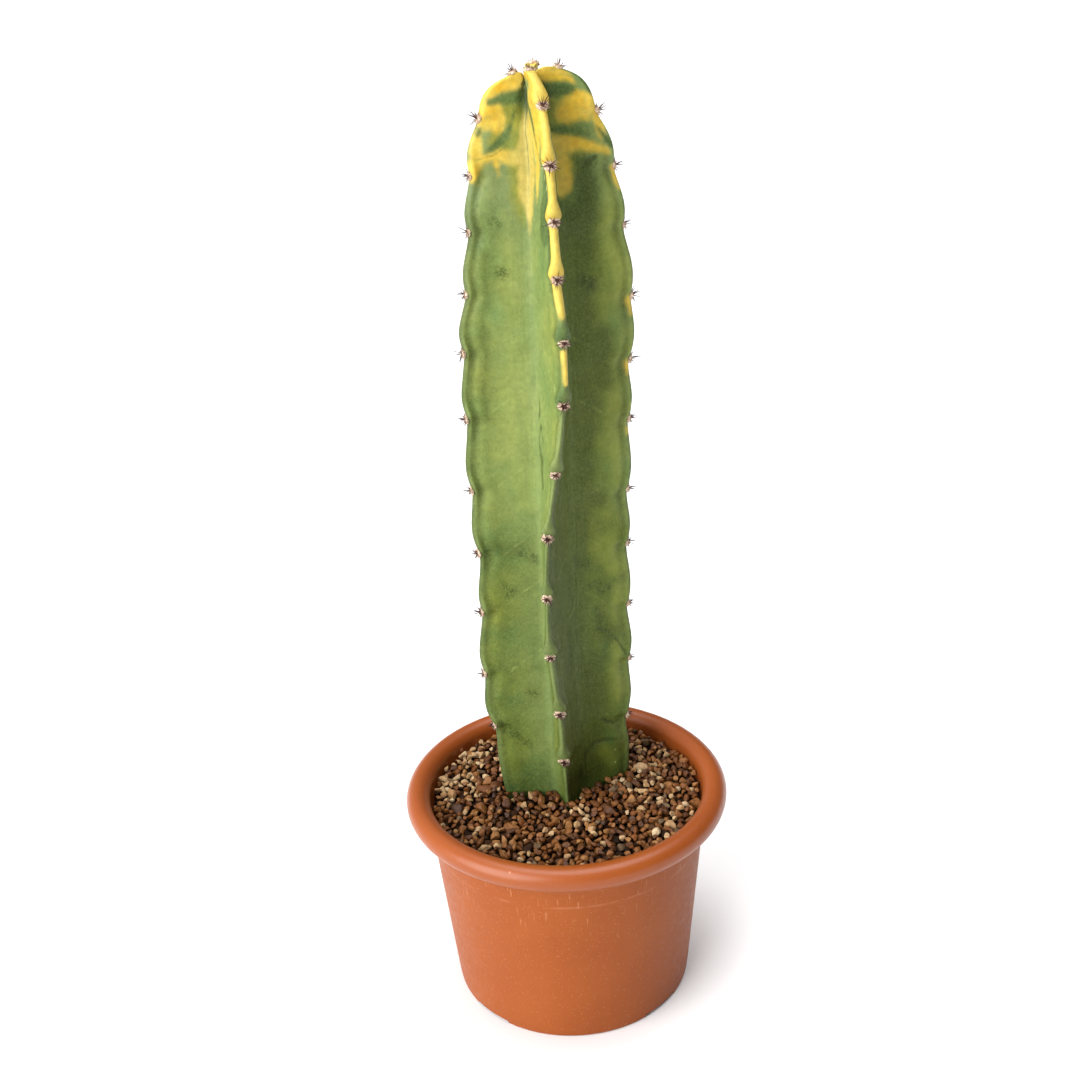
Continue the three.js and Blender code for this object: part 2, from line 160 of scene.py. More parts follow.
# The valleys are rounded by moving their points towards their neighbours a few times.
VALLEY_ROUNDS = 4
VALLEY_SHARE = 0.5
VALLEY_SPREAD = 4
VALLEY_ENDS = (405, 380)

# ---- Helpers -----------------------------------------------------------------------------------------


def smooth(value, low, high):
    """0 on low's side, 1 on high's side and an even bend between."""
    share = np.clip((np.asarray(value, float) - low) / (high - low), 0, 1)
    return share * share * (3 - 2 * share)


def bell(value, middle, spread):
    """1 at the middle, fading evenly to both sides."""
    return np.exp(-(((value - middle) / spread) ** 2))


def up_from(least, share):
    """From least to 1 as a share goes from 0 to 1."""
    return least + (1 - least) * share


def lumps(points, size, seed):
    """A smooth random relief in space, about -1 to 1, whose lumps are about size across."""
    draw = np.random.default_rng(seed)
    total = np.zeros(points.shape[:-1])
    waves = 14
    for _ in range(waves):
        direction = draw.normal(size=3)
        direction *= draw.uniform(0.6, 1.5) / np.linalg.norm(direction)
        total += np.sin(points @ direction * (math.pi / size) + draw.uniform(0, 2 * math.pi))
    return total / math.sqrt(waves)


def make_piece(name, points, faces, marks=None):
    """A smooth mesh object from points in millimetres, with marks stored at its points. faces is a list of
    arrays, one for each count of sides."""
    mesh = bpy.data.meshes.new(name)
    mesh.vertices.add(len(points))
    mesh.vertices.foreach_set("co", (np.asarray(points, float) * MM).ravel())
    corners = np.concatenate([np.asarray(block).ravel() for block in faces])
    sides = np.concatenate([np.full(len(block), np.asarray(block).shape[1]) for block in faces])
    mesh.loops.add(len(corners))
    mesh.loops.foreach_set("vertex_index", corners.astype(np.int32))
    mesh.polygons.add(len(sides))
    mesh.polygons.foreach_set("loop_start", (np.cumsum(sides) - sides).astype(np.int32))
    mesh.update(calc_edges=True)
    mesh.validate()
    mesh.polygons.foreach_set("use_smooth", np.full(len(sides), True))
    for mark, values in (marks or {}).items():
        layer = mesh.attributes.new(mark, "FLOAT", "POINT")
        layer.data.foreach_set("value", np.asarray(values, np.float32).ravel())
    piece = bpy.data.objects.new(name, mesh)
    bpy.context.scene.collection.objects.link(piece)
    return piece


def closed_rings(count, around):
    """Faces over a pile of rings of points, closed at both ends by the two points that follow them."""
    rows = np.arange(count - 1)[:, None] * around
    ring = np.arange(around)
    turned = (ring + 1) % around
    low, beside = rows + ring, rows + turned
    walls = np.stack([low, beside, beside + around, low + around], -1).reshape(-1, 4)
    top, first = (count - 1) * around, count * around
    caps = np.concatenate([
        np.stack([turned, ring, np.full(around, first)], -1),
        np.stack([ring + top, turned + top, np.full(around, first + 1)], -1),
    ])
    return [walls, caps]


def dress(piece, material, slot, *nodes):
    """Gives a piece its material and its place in the part."""
    piece.data.materials.clear()
    piece.data.materials.append(material)
    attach(piece, "root")
    if nodes:
        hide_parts(*nodes)


# ---- Shader helpers ----------------------------------------------------------------------------------


def put(tree, kind, inputs=None, **settings):
    """Adds a node. An input is a number, a colour or another node's output."""
    node = tree.nodes.new(kind)
    for name, value in settings.items():
        setattr(node, name, value)
    for key, value in (inputs or {}).items():
        socket = node.inputs[key]
        if isinstance(value, bpy.types.NodeSocket):
            tree.links.new(value, socket)
        else:
            socket.default_value = value
    return node


def calc(tree, operation, a, b=0.0):
    """A sum done by the shader, from numbers or outputs."""
    return put(tree, "ShaderNodeMath", {0: a, 1: b}, operation=operation).outputs[0]


def blend(tree, share, under, over):
    """One colour laid over another. Each is a colour or an output."""
    node = put(tree, "ShaderNodeMix", {0: share, 6: under, 7: over}, data_type="RGBA")
    return node.outputs[2]


def darken(tree, share, under, tint):
    """A colour multiplied by a tint."""
    node = put(tree, "ShaderNodeMix", {0: share, 6: under, 7: tint}, data_type="RGBA", blend_type="MULTIPLY")
    return node.outputs[2]


def times(tree, *factors):
    """The product of numbers and outputs."""
    product = factors[0]
    for factor in factors[1:]:
        product = calc(tree, "MULTIPLY", product, factor)
    return product


def scale_to(tree, value, low, high, out_low=0.0, out_high=1.0):
    """A value read between low and high with an even bend, as a value between two others."""
    node = put(
        tree, "ShaderNodeMapRange", {0: value, 1: low, 2: high, 3: out_low, 4: out_high},
        interpolation_type="SMOOTHSTEP",
    )
    return node.outputs[0]


def part_of(tree, vector, axis):
    """One part of a vector: 0, 1 or 2 for x, y or z."""
    return put(tree, "ShaderNodeSeparateXYZ", {0: vector}).outputs[axis]


def mark_of(tree, name):
    """A mark stored at the points of a mesh."""
    return put(tree, "ShaderNodeAttribute", attribute_name=name).outputs["Fac"]


def colour(red, green, blue):
    """A colour given as 0 to 255 on a screen, as the shader wants it."""
    channels = [c / 255 for c in (red, green, blue)]
    return tuple(c / 12.92 if c <= 0.04045 else ((c + 0.055) / 1.055) ** 2.4 for c in channels) + (1.0,)


def new_group(name, inputs, outputs):
    """A shader node group. inputs are (name, type, starting value)."""
    tree = bpy.data.node_groups.new(name, "ShaderNodeTree")
    for label, kind, start in inputs:
        socket = tree.interface.new_socket(label, in_out="INPUT", socket_type=kind)
        if start is not None:
            socket.default_value = start
    for label, kind in outputs:
        tree.interface.new_socket(label, in_out="OUTPUT", socket_type=kind)
    into = tree.nodes.new("NodeGroupInput")
    out = tree.nodes.new("NodeGroupOutput")
    return tree, into.outputs, out.inputs


def use(tree, group, **inputs):
    """Places a group and returns its outputs. An input's name has _ for a space."""
    node = tree.nodes.new("ShaderNodeGroup")
    node.node_tree = group
    for label, value in inputs.items():
        socket = node.inputs[label.replace("_", " ")]
        if isinstance(value, bpy.types.NodeSocket):
            tree.links.new(value, socket)
        else:
            socket.default_value = value
    return node.outputs


FLOAT, VECTOR = "NodeSocketFloat", "NodeSocketVector"


def place_group():
    """The place on the piece in millimetres."""
    tree, _, out = new_group("place in millimetres", [], [("Place", VECTOR)])
    where = put(tree, "ShaderNodeTexCoord").outputs["Object"]
    scaled = put(tree, "ShaderNodeVectorMath", {0: where, 3: 1 / MM}, operation="SCALE").outputs[0]
    tree.links.new(scaled, out["Place"])
    return tree


def mottle_group():
    """Soft blotches of a size, 0 to 1."""
    tree, into, out = new_group(
        "mottle",
        [("Place", VECTOR, None), ("Size", FLOAT, 10.0), ("Detail", FLOAT, 3.0), ("Contrast", FLOAT, 1.0)],
        [("Mask", FLOAT)],
    )
    scale = calc(tree, "DIVIDE", 1.0, into["Size"])
    noise = put(
        tree, "ShaderNodeTexNoise",
        {"Vector": into["Place"], "Scale": scale, "Detail": into["Detail"], "Roughness": 0.55},
    ).outputs[0]
    spread = times(tree, calc(tree, "SUBTRACT", noise, 0.5), times(tree, into["Contrast"], 2.2))
    tree.links.new(put(tree, "ShaderNodeClamp", {0: calc(tree, "ADD", spread, 0.5)}).outputs[0], out["Mask"])
    return tree


def ragged_group():
    """A patch with an uneven soft border, from how deep inside the patch a place lies."""
    tree, into, out = new_group(
        "ragged patch",
        [("Place", VECTOR, None), ("Depth", FLOAT, 0.0), ("Wander", FLOAT, 1.5), ("Size", FLOAT, 5.0),
         ("Softness", FLOAT, 1.0)],
        [("Mask", FLOAT)],
    )
    scale = calc(tree, "DIVIDE", 1.0, into["Size"])
    noise = put(
        tree, "ShaderNodeTexNoise",
        {"Vector": into["Place"], "Scale": scale, "Detail": 4.0, "Roughness": 0.6},
    ).outputs[0]
    shift = times(tree, calc(tree, "SUBTRACT", noise, 0.5), times(tree, into["Wander"], 2.0))
    depth = calc(tree, "ADD", into["Depth"], shift)
    low = times(tree, into["Softness"], -1.0)
    tree.links.new(scale_to(tree, depth, low, into["Softness"]), out["Mask"])
    return tree


def specks_group():
    """Scattered round specks. Share is how many of the cells hold one."""
    tree, into, out = new_group(
        "specks",
        [("Place", VECTOR, None), ("Spacing", FLOAT, 4.0), ("Radius", FLOAT, 0.4), ("Share", FLOAT, 0.3)],
        [("Mask", FLOAT)],
    )
    scale = calc(tree, "DIVIDE", 1.0, into["Spacing"])
    cells = put(tree, "ShaderNodeTexVoronoi", {"Vector": into["Place"], "Scale": scale})
    pick = put(tree, "ShaderNodeSeparateColor", {0: cells.outputs["Color"]})
    held = calc(tree, "LESS_THAN", pick.outputs[0], into["Share"])
    reach = times(tree, into["Radius"], calc(tree, "ADD", pick.outputs[1], 0.5))
    away = times(tree, cells.outputs["Distance"], into["Spacing"])
    inside = scale_to(tree, away, times(tree, reach, 0.5), reach, 1.0, 0.0)
    tree.links.new(times(tree, inside, held), out["Mask"])
    return tree


def grain_group():
    """A fine uneven surface height from two sizes of grain, 0 to 1."""
    tree, into, out = new_group(
        "fine grain",
        [("Place", VECTOR, None), ("Coarse", FLOAT, 2.0), ("Fine", FLOAT, 0.4), ("Fine share", FLOAT, 0.4)],
        [("Height", FLOAT)],
    )
    sizes = []
    for label in ("Coarse", "Fine"):
        scale = calc(tree, "DIVIDE", 1.0, into[label])
        sizes.append(put(
            tree, "ShaderNodeTexNoise",
            {"Vector": into["Place"], "Scale": scale, "Detail": 3.0, "Roughness": 0.6},
        ).outputs[0])
    both = put(tree, "ShaderNodeMix", {0: into["Fine share"], 2: sizes[0], 3: sizes[1]}, data_type="FLOAT")
    tree.links.new(both.outputs[0], out["Height"])
    return tree


PLACE = place_group()
MOTTLE = mottle_group()
RAGGED = ragged_group()
SPECKS = specks_group()
GRAIN = grain_group()


def blotches(tree, place, size, detail, contrast):
    """Soft blotches of a size in millimetres, 0 to 1."""
    return use(tree, MOTTLE, Place=place, Size=size, Detail=detail, Contrast=contrast)["Mask"]


def dots(tree, place, spacing, radius, share):
    """Scattered round specks, in millimetres."""
    return use(tree, SPECKS, Place=place, Spacing=spacing, Radius=radius, Share=share)["Mask"]


def grain(tree, place, coarse, fine, fine_share):
    """A fine uneven surface height, 0 to 1."""
    return use(tree, GRAIN, Place=place, Coarse=coarse, Fine=fine, Fine_share=fine_share)["Height"]


def stretched(tree, place, squeeze):
    """The place with its height squeezed, so that what is read there is drawn out upwards."""
    squeezed = put(tree, "ShaderNodeVectorMath", {0: place, 1: (1.0, 1.0, squeeze)}, operation="MULTIPLY")
    return squeezed.outputs[0]


def new_material(name):
    """A material with its tree, its main shader and the place on the piece."""
    material = bpy.data.materials.new(name)
    material.use_nodes = True
    tree = material.node_tree
    shader = tree.nodes["Principled BSDF"]
    place = use(tree, PLACE)["Place"]
    return material, tree, shader, place


def emboss(tree, shader, height, depth_mm):
    """Raises or sinks the surface look by a height, 0 to 1."""
    bump = put(tree, "ShaderNodeBump", {"Strength": 1.0, "Distance": depth_mm * MM, "Height": height})
    tree.links.new(bump.outputs[0], shader.inputs["Normal"])


# ---- Stem shape --------------------------------------------------------------------------------------


def through(values, station):
    """A smooth curve through values, read at stations, and its slope."""
    values = np.asarray(values, float)
    station = np.asarray(station, float)
    padded = np.concatenate([[2 * values[0] - values[1]], values, [2 * values[-1] - values[-2]]])
    start = np.clip(np.floor(station).astype(int), 0, len(values) - 2)
    share = station - start
    before, here, after, beyond = (padded[start + i] for i in range(4))
    slope_here = (after - before) / 2
    slope_after = (beyond - here) / 2
    cube = 2 * here - 2 * after + slope_here + slope_after
    square = -3 * here + 3 * after - 2 * slope_here - slope_after
    value = ((cube * share + square) * share + slope_here) * share + here
    slope = (3 * cube * share + 2 * square) * share + slope_here
    return value, slope


for rib in RIBS:
    heights = np.asarray(CREST_HEIGHTS, float)
    rib["heights"] = heights + rib["rise"] * smooth(heights, CROWN_FROM, CROWN_TOP)
    outer = np.linspace(*OUTER_STATIONS, 6001)
    rib["stations"] = [rib["crown"]] + [
        float(np.interp(height, through(rib["heights"], outer)[0], outer)) for height in rib["cushions"]
    ]


def between_cushions(rib, station):
    """The share of the way down from the cushion above to the one below, from 0 to 1. Past the lowest
    cushion it goes on to the fullest share and stays there, and above the uppermost it is 0."""
    stops = np.array([rib["stations"][-1] - 1.0] + rib["stations"][::-1])
    above = np.clip(np.searchsorted(stops, station, side="right"), 1, len(stops) - 1)
    share = np.clip((stops[above] - station) / (stops[above] - stops[above - 1]), 0, 1)
    return np.where(station < stops[1], np.minimum(share, FULLEST_SHARE), share)


def edge_at(rib, station):
    """The rib's edge: radius, height, bearing and outward direction in its own upright plane."""
    radius, radius_slope = through(rib["radii"], station)
    height, height_slope = through(rib["heights"], station)
    turn = through(rib["turn"], station)[0]
    slope = np.hypot(radius_slope, height_slope)
    outward, upward = height_slope / slope, -radius_slope / slope
    sink = NOTCH_DEPTH * (1 - np.sin(np.pi * between_cushions(rib, station) ** BULGE_SKEW))
    return (
        np.maximum(radius - sink * outward, LEAST_RADIUS),
        height - sink * upward,
        np.radians(rib["azimuth"] + turn),
        outward,
        upward,
    )


def stem_point(bearing, along, left, height):
    """A point at a distance along a bearing from the stem's axis and to the left of it."""
    lean = smooth(height, LEAN_FROM, CROWN_TOP)
    x = STEM_AXIS[0] + CROWN_LEAN[0] * lean + along * np.cos(bearing) - left * np.sin(bearing)
    y = STEM_AXIS[1] + CROWN_LEAN[1] * lean + along * np.sin(bearing) + left * np.cos(bearing)
    return np.stack(np.broadcast_arrays(x, y, height), -1)


def valley_at(index, station):
    """The valley between a rib and the next one anticlockwise."""
    start = edge_at(RIBS[index], station)[2]
    end = edge_at(RIBS[(index + 1) % len(RIBS)], station)[2]
    half = ((end - start + 4 * np.pi) % (2 * np.pi)) / 2
    radius = through(VALLEY_RADII, station)[0]
    return stem_point(start + half, radius, 0 * radius, through(VALLEY_HEIGHTS, station)[0])


def stem_rows():
    """Stations about a row step apart along the rib edge, from the root to the growing point."""
    fine = np.linspace(0, LAST_STATION, 8001)
    radius = through(RIBS[1]["radii"], fine)[0]
    height = through(CREST_HEIGHTS, fine)[0]
    length = np.hypot(np.diff(radius), np.diff(height))
    step = np.where(height[1:] < BURIED_TO, BURIED_ROW_STEP, ROW_STEP)
    count = np.concatenate([[0], np.cumsum(length / step)])
    return np.interp(np.linspace(0, count[-1], int(count[-1])), count, fine)


def face_beside(index, side):
    """The face next to a rib: the anticlockwise one for side 1, the clockwise one for side -1."""
    return index if side > 0 else (index - 1) % len(RIBS)


def near_cushions(rib, station, height, above, below, lift=0.0):
    """1 a lift above a cushion of the rib, fading over a distance above that place and one below it."""
    near = np.zeros_like(height)
    for stop in rib["stations"]:
        offset = height - lift - edge_at(rib, np.array([stop]))[1][0]
        near = np.maximum(near, bell(offset, 0, np.where(offset > 0, above, below)))
    return near * smooth(LAST_STATION - 1 - station, 0, 1.5)


def make_section(rows):
    """Every point of the skin, rows by columns, with what the finish needs to know of each."""
    columns = []
    for index, rib in enumerate(RIBS):
        radius, height, bearing, _, _ = edge_at(rib, rows)
        round_ = np.minimum(EDGE_ROUND, EDGE_ROUND_SHARE * radius)
        swell = near_cushions(rib, rows, height, SWELL_ABOVE, SWELL_BELOW, SWELL_LIFT)
        fold = near_cushions(rib, rows, height, FOLD_REACH, FOLD_REACH)
        thin, thick = EDGE_HALF_WIDTH
        plain = thin + (thick - thin) * smooth(height, *EDGE_THICKENS)
        half_width = round_ / EDGE_ROUND * (plain + (CUSHION_HALF_WIDTH - plain) * swell)
        centre = radius - round_
        left_way = np.stack([-np.sin(bearing), np.cos(bearing), 0 * bearing], -1)
        shares = (np.arange(FLANK_COLUMNS) / FLANK_COLUMNS) ** FLANK_CROWDING

        def flank(side, share):
            """A column of the rib's flank, a share of the way from its edge to the valley."""
            face = face_beside(index, side)
            valley = valley_at(face, rows)
            shoulder = stem_point(bearing, centre, side * half_width, height)
            length = np.linalg.norm(shoulder - valley, axis=-1)
            inset = length * share + round_
            crest = SHOULDER["inset"] + SHOULDER["wander"] * fold
            puff = SHOULDER["rise"] * bell(inset, crest, SHOULDER["spread"])
            neck, neck_spread = NECK["inset"] + NECK["wander"] * fold, NECK["spread"] + NECK["widen"] * fold
            groove = bell(inset, neck, neck_spread)
            groove *= smooth(height, *NECK_ENDS) * up_from(NECK_FOOT, smooth(height, *NECK_FADES))
            puff -= (NECK["depth"] + NECK["deepen"] * fold) * groove
            puff -= FLANK_HOLLOW * math.sin(math.pi * share)
            swollen = half_width - round_ / EDGE_ROUND * plain
            puff -= swollen * (1 - share - bell(length * share, 0, SWELL_REACH))
            puff *= smooth(length, *FLANK_CALM) * (1 - share ** 3)
            point = shoulder + (valley - shoulder) * share + left_way * (side * puff)[:, None]
            # The neck's groove goes to the finish, which darkens it as painted shade.
            return dict(
                point=point, face=face, side=side, inset=inset, reach=length + round_, rib=index,
                groove=groove * up_from(NECK_BETWEEN, fold),
            )

        for share in shares[::-1]:
            columns.append(flank(-1, share))
        for step in range(1, EDGE_COLUMNS):
            angle = math.pi * (step / EDGE_COLUMNS - 0.5)
            side = 1 if angle >= 0 else -1
            point = stem_point(
                bearing, centre + round_ * math.cos(angle), half_width * math.sin(angle), height
            )
            face = face_beside(index, side)
            length = np.linalg.norm(valley_at(face, rows) - point, axis=-1) + round_
            inset = round_ * (1 - math.cos(angle))
            columns.append(dict(
                point=point, face=face, side=side, inset=inset, reach=length, rib=index, groove=0 * rows,
            ))
        for share in shares:
            columns.append(flank(1, share))
        valley = valley_at(index, rows)
        reach = np.linalg.norm(valley - stem_point(bearing, radius, 0 * radius, height), axis=-1)
        columns.append(dict(
            point=valley, face=index, side=1, inset=reach, reach=reach, rib=index, groove=0 * rows,
        ))
    return columns


STEM_MARKS = (
    "yellow", "mixed", "green_patch", "deep", "pale", "smudge", "crease", "scar", "bloom", "old", "groove",
    "vein", "inset", "valley", "shaded", "dusky", "edge_painted_shade",
)


def make_stem():
    """The plant's body as one closed skin."""
    rows = stem_rows()
    columns = make_section(rows)
    points = np.stack([column["point"] for column in columns], 1)
    around = len(columns)
    from_valley = np.stack([column["reach"] - column["inset"] for column in columns], 1)
    soften = VALLEY_SHARE * bell(from_valley, 0, VALLEY_SPREAD) * smooth(points[..., 2], *VALLEY_ENDS)
    for _ in range(VALLEY_ROUNDS):
        middle = (np.roll(points, 1, 1) + np.roll(points, -1, 1)) / 2
        points += soften[..., None] * (middle - points)
    marks, relief = skin_marks(rows, columns, points)
    across = np.roll(points, -1, 1) - np.roll(points, 1, 1)
    upward = np.gradient(points, axis=0)
    outward = np.cross(across, upward)
    outward /= np.linalg.norm(outward, axis=-1, keepdims=True) + 1e-9
    points = points + outward * relief[..., None]

    every = np.concatenate([points.reshape(-1, 3), points[0].mean(0)[None], points[-1].mean(0)[None]])
    flat_marks = {
        name: np.concatenate([values.ravel(), [values[0].mean(), values[-1].mean()]])
        for name, values in marks.items()
    }
    stem = make_piece("stem", every, closed_rings(len(rows), around), flat_marks)
    dress(stem, make_skin(), "stem_skin", "cactus_stem")


# ---- Where the stem's colours lie --------------------------------------------------------------------

# Each face of the stem lies between two ribs. A place on it is (across, height): across runs from -1 on
# the edge of the clockwise rib through 0 in the valley to 1 on the edge of the next rib, height is in
# millimetres. A stroke is a list of such places with the stroke's half width there.
FACE_WIDTH = 34
FACES = ("right", "back_right", "back_left", "left")
FAR_OUTSIDE = -20.0

YELLOW = {
    "left": [
        [(-1, 441, 7), (-0.6, 443, 6.5), (-0.2, 443, 6), (0, 443, 6)],
        [(-1, 431, 4.6), (-0.88, 428, 5.2), (-0.64, 428, 5), (-0.56, 425, 4.4)],
        [(-0.97, 422, 1.6), (-0.88, 416, 3.6), (-0.84, 411, 3.2), (-0.96, 407, 3.0), (-0.95, 404, 1.8)],
        [(-0.85, 411, 1.2), (-0.5, 412.6, 2.2), (-0.25, 411, 3.2), (0, 411, 5)],
        [(-0.55, 410, 1.6), (-0.53, 404.5, 0.4)],
        [(0.14, 433, 4), (0.12, 424, 7), (0.08, 414, 8), (0.04, 404, 8.4), (0.02, 398, 7.4),
         (0.05, 391, 4.4), (0.04, 385, 2.0), (0.02, 378, 0.2)],
        [(0.5, 432, 7), (0.55, 422, 9), (0.55, 413, 6), (0.45, 407, 4), (0.4, 400, 2), (0.36, 394, 0.4)],
    ],
    "right": [
        [(-0.3, 447, 6), (0.1, 446, 6), (0.5, 445, 5), (0.8, 446, 4)],
        [(0.5, 444, 4), (0.74, 441, 2)],
        [(0.24, 426, 2), (0.42, 428, 4.4), (0.58, 429, 5), (0.72, 430, 6), (0.86, 430, 5.2), (0.97, 427, 3.4),
         (0.9, 421, 2.4), (0.84, 417.5, 1.4)],
        [(0.0, 414, 4.6), (0.2, 415, 4), (0.45, 415, 2.4), (0.7, 413, 1.9), (0.88, 411, 1.2)],
        [(0.0, 416, 5), (0.1, 406, 6.2), (0.13, 400, 5), (0.08, 397, 3.4)],
        [(0.97, 403, 1.8), (0.97, 396, 1.2)],
        [(0.96, 347, 2.0), (0.98, 341, 0.9)],
        [(0.96, 317.5, 1.8), (0.97, 314.5, 1.2)],
        [(0.98, 287, 1.0), (0.98, 285, 0.6)],
    ],
    "back_left": [
        [(-1, 441, 8), (0, 441, 9), (1, 441, 7)],
        [(0.9, 430, 4), (0.4, 426, 7), (0, 420, 6), (-0.3, 408, 3), (-0.35, 398, 0.8)],
        [(-0.95, 426, 3.5), (-0.7, 416, 4), (-0.85, 404, 1.5)],
        [(0.96, 402, 2), (0.97, 388, 0.8)],
    ],
    "back_right": [
        [(-1, 442, 7), (0, 442, 8), (1, 443, 8)],
        [(-0.9, 426, 3), (-0.3, 431, 5), (0.2, 425, 6), (0.1, 412, 5), (0.05, 399, 3), (0.08, 388, 0.6)],
        [(0.95, 424, 4), (0.7, 414, 3), (0.9, 405, 1.2)],
        [(-0.96, 347, 1.6), (-0.97, 340, 0.6)],
    ],
}

# Yellow and green tissue mixed, an olive tone.
MIXED = {
    "left": [
        [(-0.4, 429, 5), (-0.2, 426, 7), (-0.1, 418, 7), (0.0, 424, 5)],
        [(-0.55, 420, 4.5), (-0.4, 416, 4.5)],
        [(-0.2, 408, 5), (-0.22, 398, 4), (-0.1, 386, 2.5)],
        [(-0.9, 407, 4), (-0.84, 402, 2)],
    ],
    "right": [
        [(0.0, 432, 5), (0.2, 429, 6), (0.45, 429, 5)],
        [(0.0, 418, 4), (0.14, 414, 5), (0.16, 406, 6), (0.12, 400, 4)],
        [(0.2, 415, 4), (0.5, 414, 3)],
    ],
    "back_left": [
        [(0.2, 412, 6), (0, 402, 5), (-0.1, 390, 2)],
        [(0.6, 416, 5), (0.7, 404, 3)],
    ],
    "back_right": [
        [(-0.2, 416, 6), (0.2, 404, 5), (0.3, 392, 2)],
        [(-0.6, 412, 4), (-0.7, 402, 2)],
    ],
}

# Deep green patches that lie over the yellow.
GREEN = {
    "left": [
        [(-0.84, 433, 0.6), (-0.6, 434.6, 2.1), (-0.3, 434.9, 2.8), (0, 435.5, 2.8)],
        [(-0.97, 422.5, 1.8), (-0.9, 421.5, 1.4)],
        [(-0.22, 430, 1.0), (-0.3, 425, 1.6), (-0.34, 421, 2.0), (-0.45, 418, 2.2), (-0.6, 415.5, 1.8),
         (-0.7, 414.5, 0.7)],
        [(0.86, 415, 0.2), (0.84, 410, 0.9), (0.82, 404, 1.8), (0.78, 397, 3.2), (0.7, 391, 5),
         (0.68, 384, 7)],
        [(0.85, 378, 0.8), (0.86, 370, 0.7)],
        [(0.98, 347, 1.2), (0.97, 339, 3.2)],
        [(0.98, 319, 1.0), (0.97, 313, 3.0)],
        [(0.25, 436, 1.8), (0.32, 430, 2.4), (0.42, 423, 1.8), (0.55, 416, 0.5)],
    ],
    "right": [
        [(-0.3, 436.6, 3.2), (0.05, 436.6, 3.2), (0.35, 436.6, 2.6), (0.62, 436.8, 1.4), (0.7, 436.4, 0.4)],
        [(0.97, 443, 0.8), (0.98, 440, 2.0), (0.98, 435, 1.5)],
        [(0.0, 421.5, 1.3), (0.3, 420.3, 1.5), (0.5, 419.3, 1.1), (0.66, 418.6, 0.5)],
        [(0.86, 420, 0.8), (0.9, 416, 1.5), (0.97, 413.5, 1.6)],
        [(-0.95, 422, 0.3), (-0.93, 416, 0.8), (-0.95, 411, 0.3)],
        [(-0.98, 347, 1.2), (-0.97, 339, 3.2)],
    ],
    "back_left": [
        [(-0.6, 434, 1.5), (-0.1, 432, 2.4), (0.3, 434, 1)],
        [(0.2, 419, 2), (0.6, 416, 2.4), (0.9, 418, 1)],
    ],
    "back_right": [
        [(0.3, 436, 1.5), (0.6, 434, 2.2), (0.85, 435, 1)],
        [(-0.7, 420, 1.6), (-0.3, 418, 2.2), (0, 420, 1)],
    ],
}

# Deeper green skin. The broad strokes over most of the right face are painted shade.
DEEP = {
    "left": [
        [(0.98, 345, 1), (0.99, 250, 1.4), (0.94, 215, 4), (0.9, 120, 8)],
        [(-0.98, 400, 1.5), (-0.99, 120, 1.5)],
        [(-0.72, 372, 0), (-0.7, 335, 1), (-0.72, 300, 0)],
        [(-0.7, 238, 1), (-0.45, 236, 2.4), (-0.3, 238, 1)],
        [(0.15, 200, 2), (0.2, 160, 6), (0.2, 125, 5)],
    ],
    "right": [
        [(-0.9, 392, 10), (-0.3, 385, 16), (0.2, 376, 12)],
        [(0.35, 406, 4), (0.5, 400, 7), (0.45, 386, 7)],
        [(-0.9, 370, 12), (-0.9, 120, 12)],
        [(-0.3, 370, 17), (-0.3, 250, 17), (-0.25, 120, 15)],
        [(0.15, 372, 12), (0.1, 330, 12), (0.15, 300, 12), (0.05, 230, 8)],
        [(0.45, 330, 8), (0.55, 312, 7)],
        [(0.15, 262, 5), (0.45, 256, 6)],
        [(0.5, 190, 5), (0.6, 183, 4)],
        [(0.3, 172, 7), (0.2, 112, 9)],
    ],
    "back_left": [
        [(-0.3, 370, 12), (-0.2, 300, 15), (-0.3, 120, 12)],
        [(0.4, 340, 8), (0.5, 300, 6)],
    ],
    "back_right": [
        [(0.3, 380, 12), (0.2, 300, 14), (0.3, 130, 12)],
        [(-0.5, 280, 8), (-0.4, 250, 6)],
    ],
}

# Pale yellowish green skin. On the right face it lies near the far edge and is partly painted light,
# where light reaches past the front rib.
PALE_GREEN = {
    "left": [[(-0.3, 372, 5), (-0.25, 300, 7), (-0.2, 260, 6)]],
    "right": [
        [(0.84, 397, 3), (0.74, 386, 5), (0.76, 370, 5), (0.88, 354, 3)],
        [(0.9, 332, 2), (0.9, 318, 1.5)],
        [(0.85, 290, 2), (0.76, 276, 4), (0.82, 262, 3)],
        [(0.42, 233, 4), (0.6, 231, 7), (0.76, 222, 6)],
        [(0.82, 206, 5), (0.78, 195, 4)],
        [(0.72, 176, 4), (0.76, 160, 5), (0.74, 150, 4)],
        [(0.45, 121, 4), (0.6, 113, 4)],
    ],
    "back_left": [[(0.7, 380, 5), (0.72, 340, 6)], [(-0.6, 260, 6), (-0.6, 220, 7)]],
    "back_right": [[(-0.7, 372, 5), (-0.7, 330, 6)], [(0.6, 240, 6), (0.62, 200, 7)]],
}

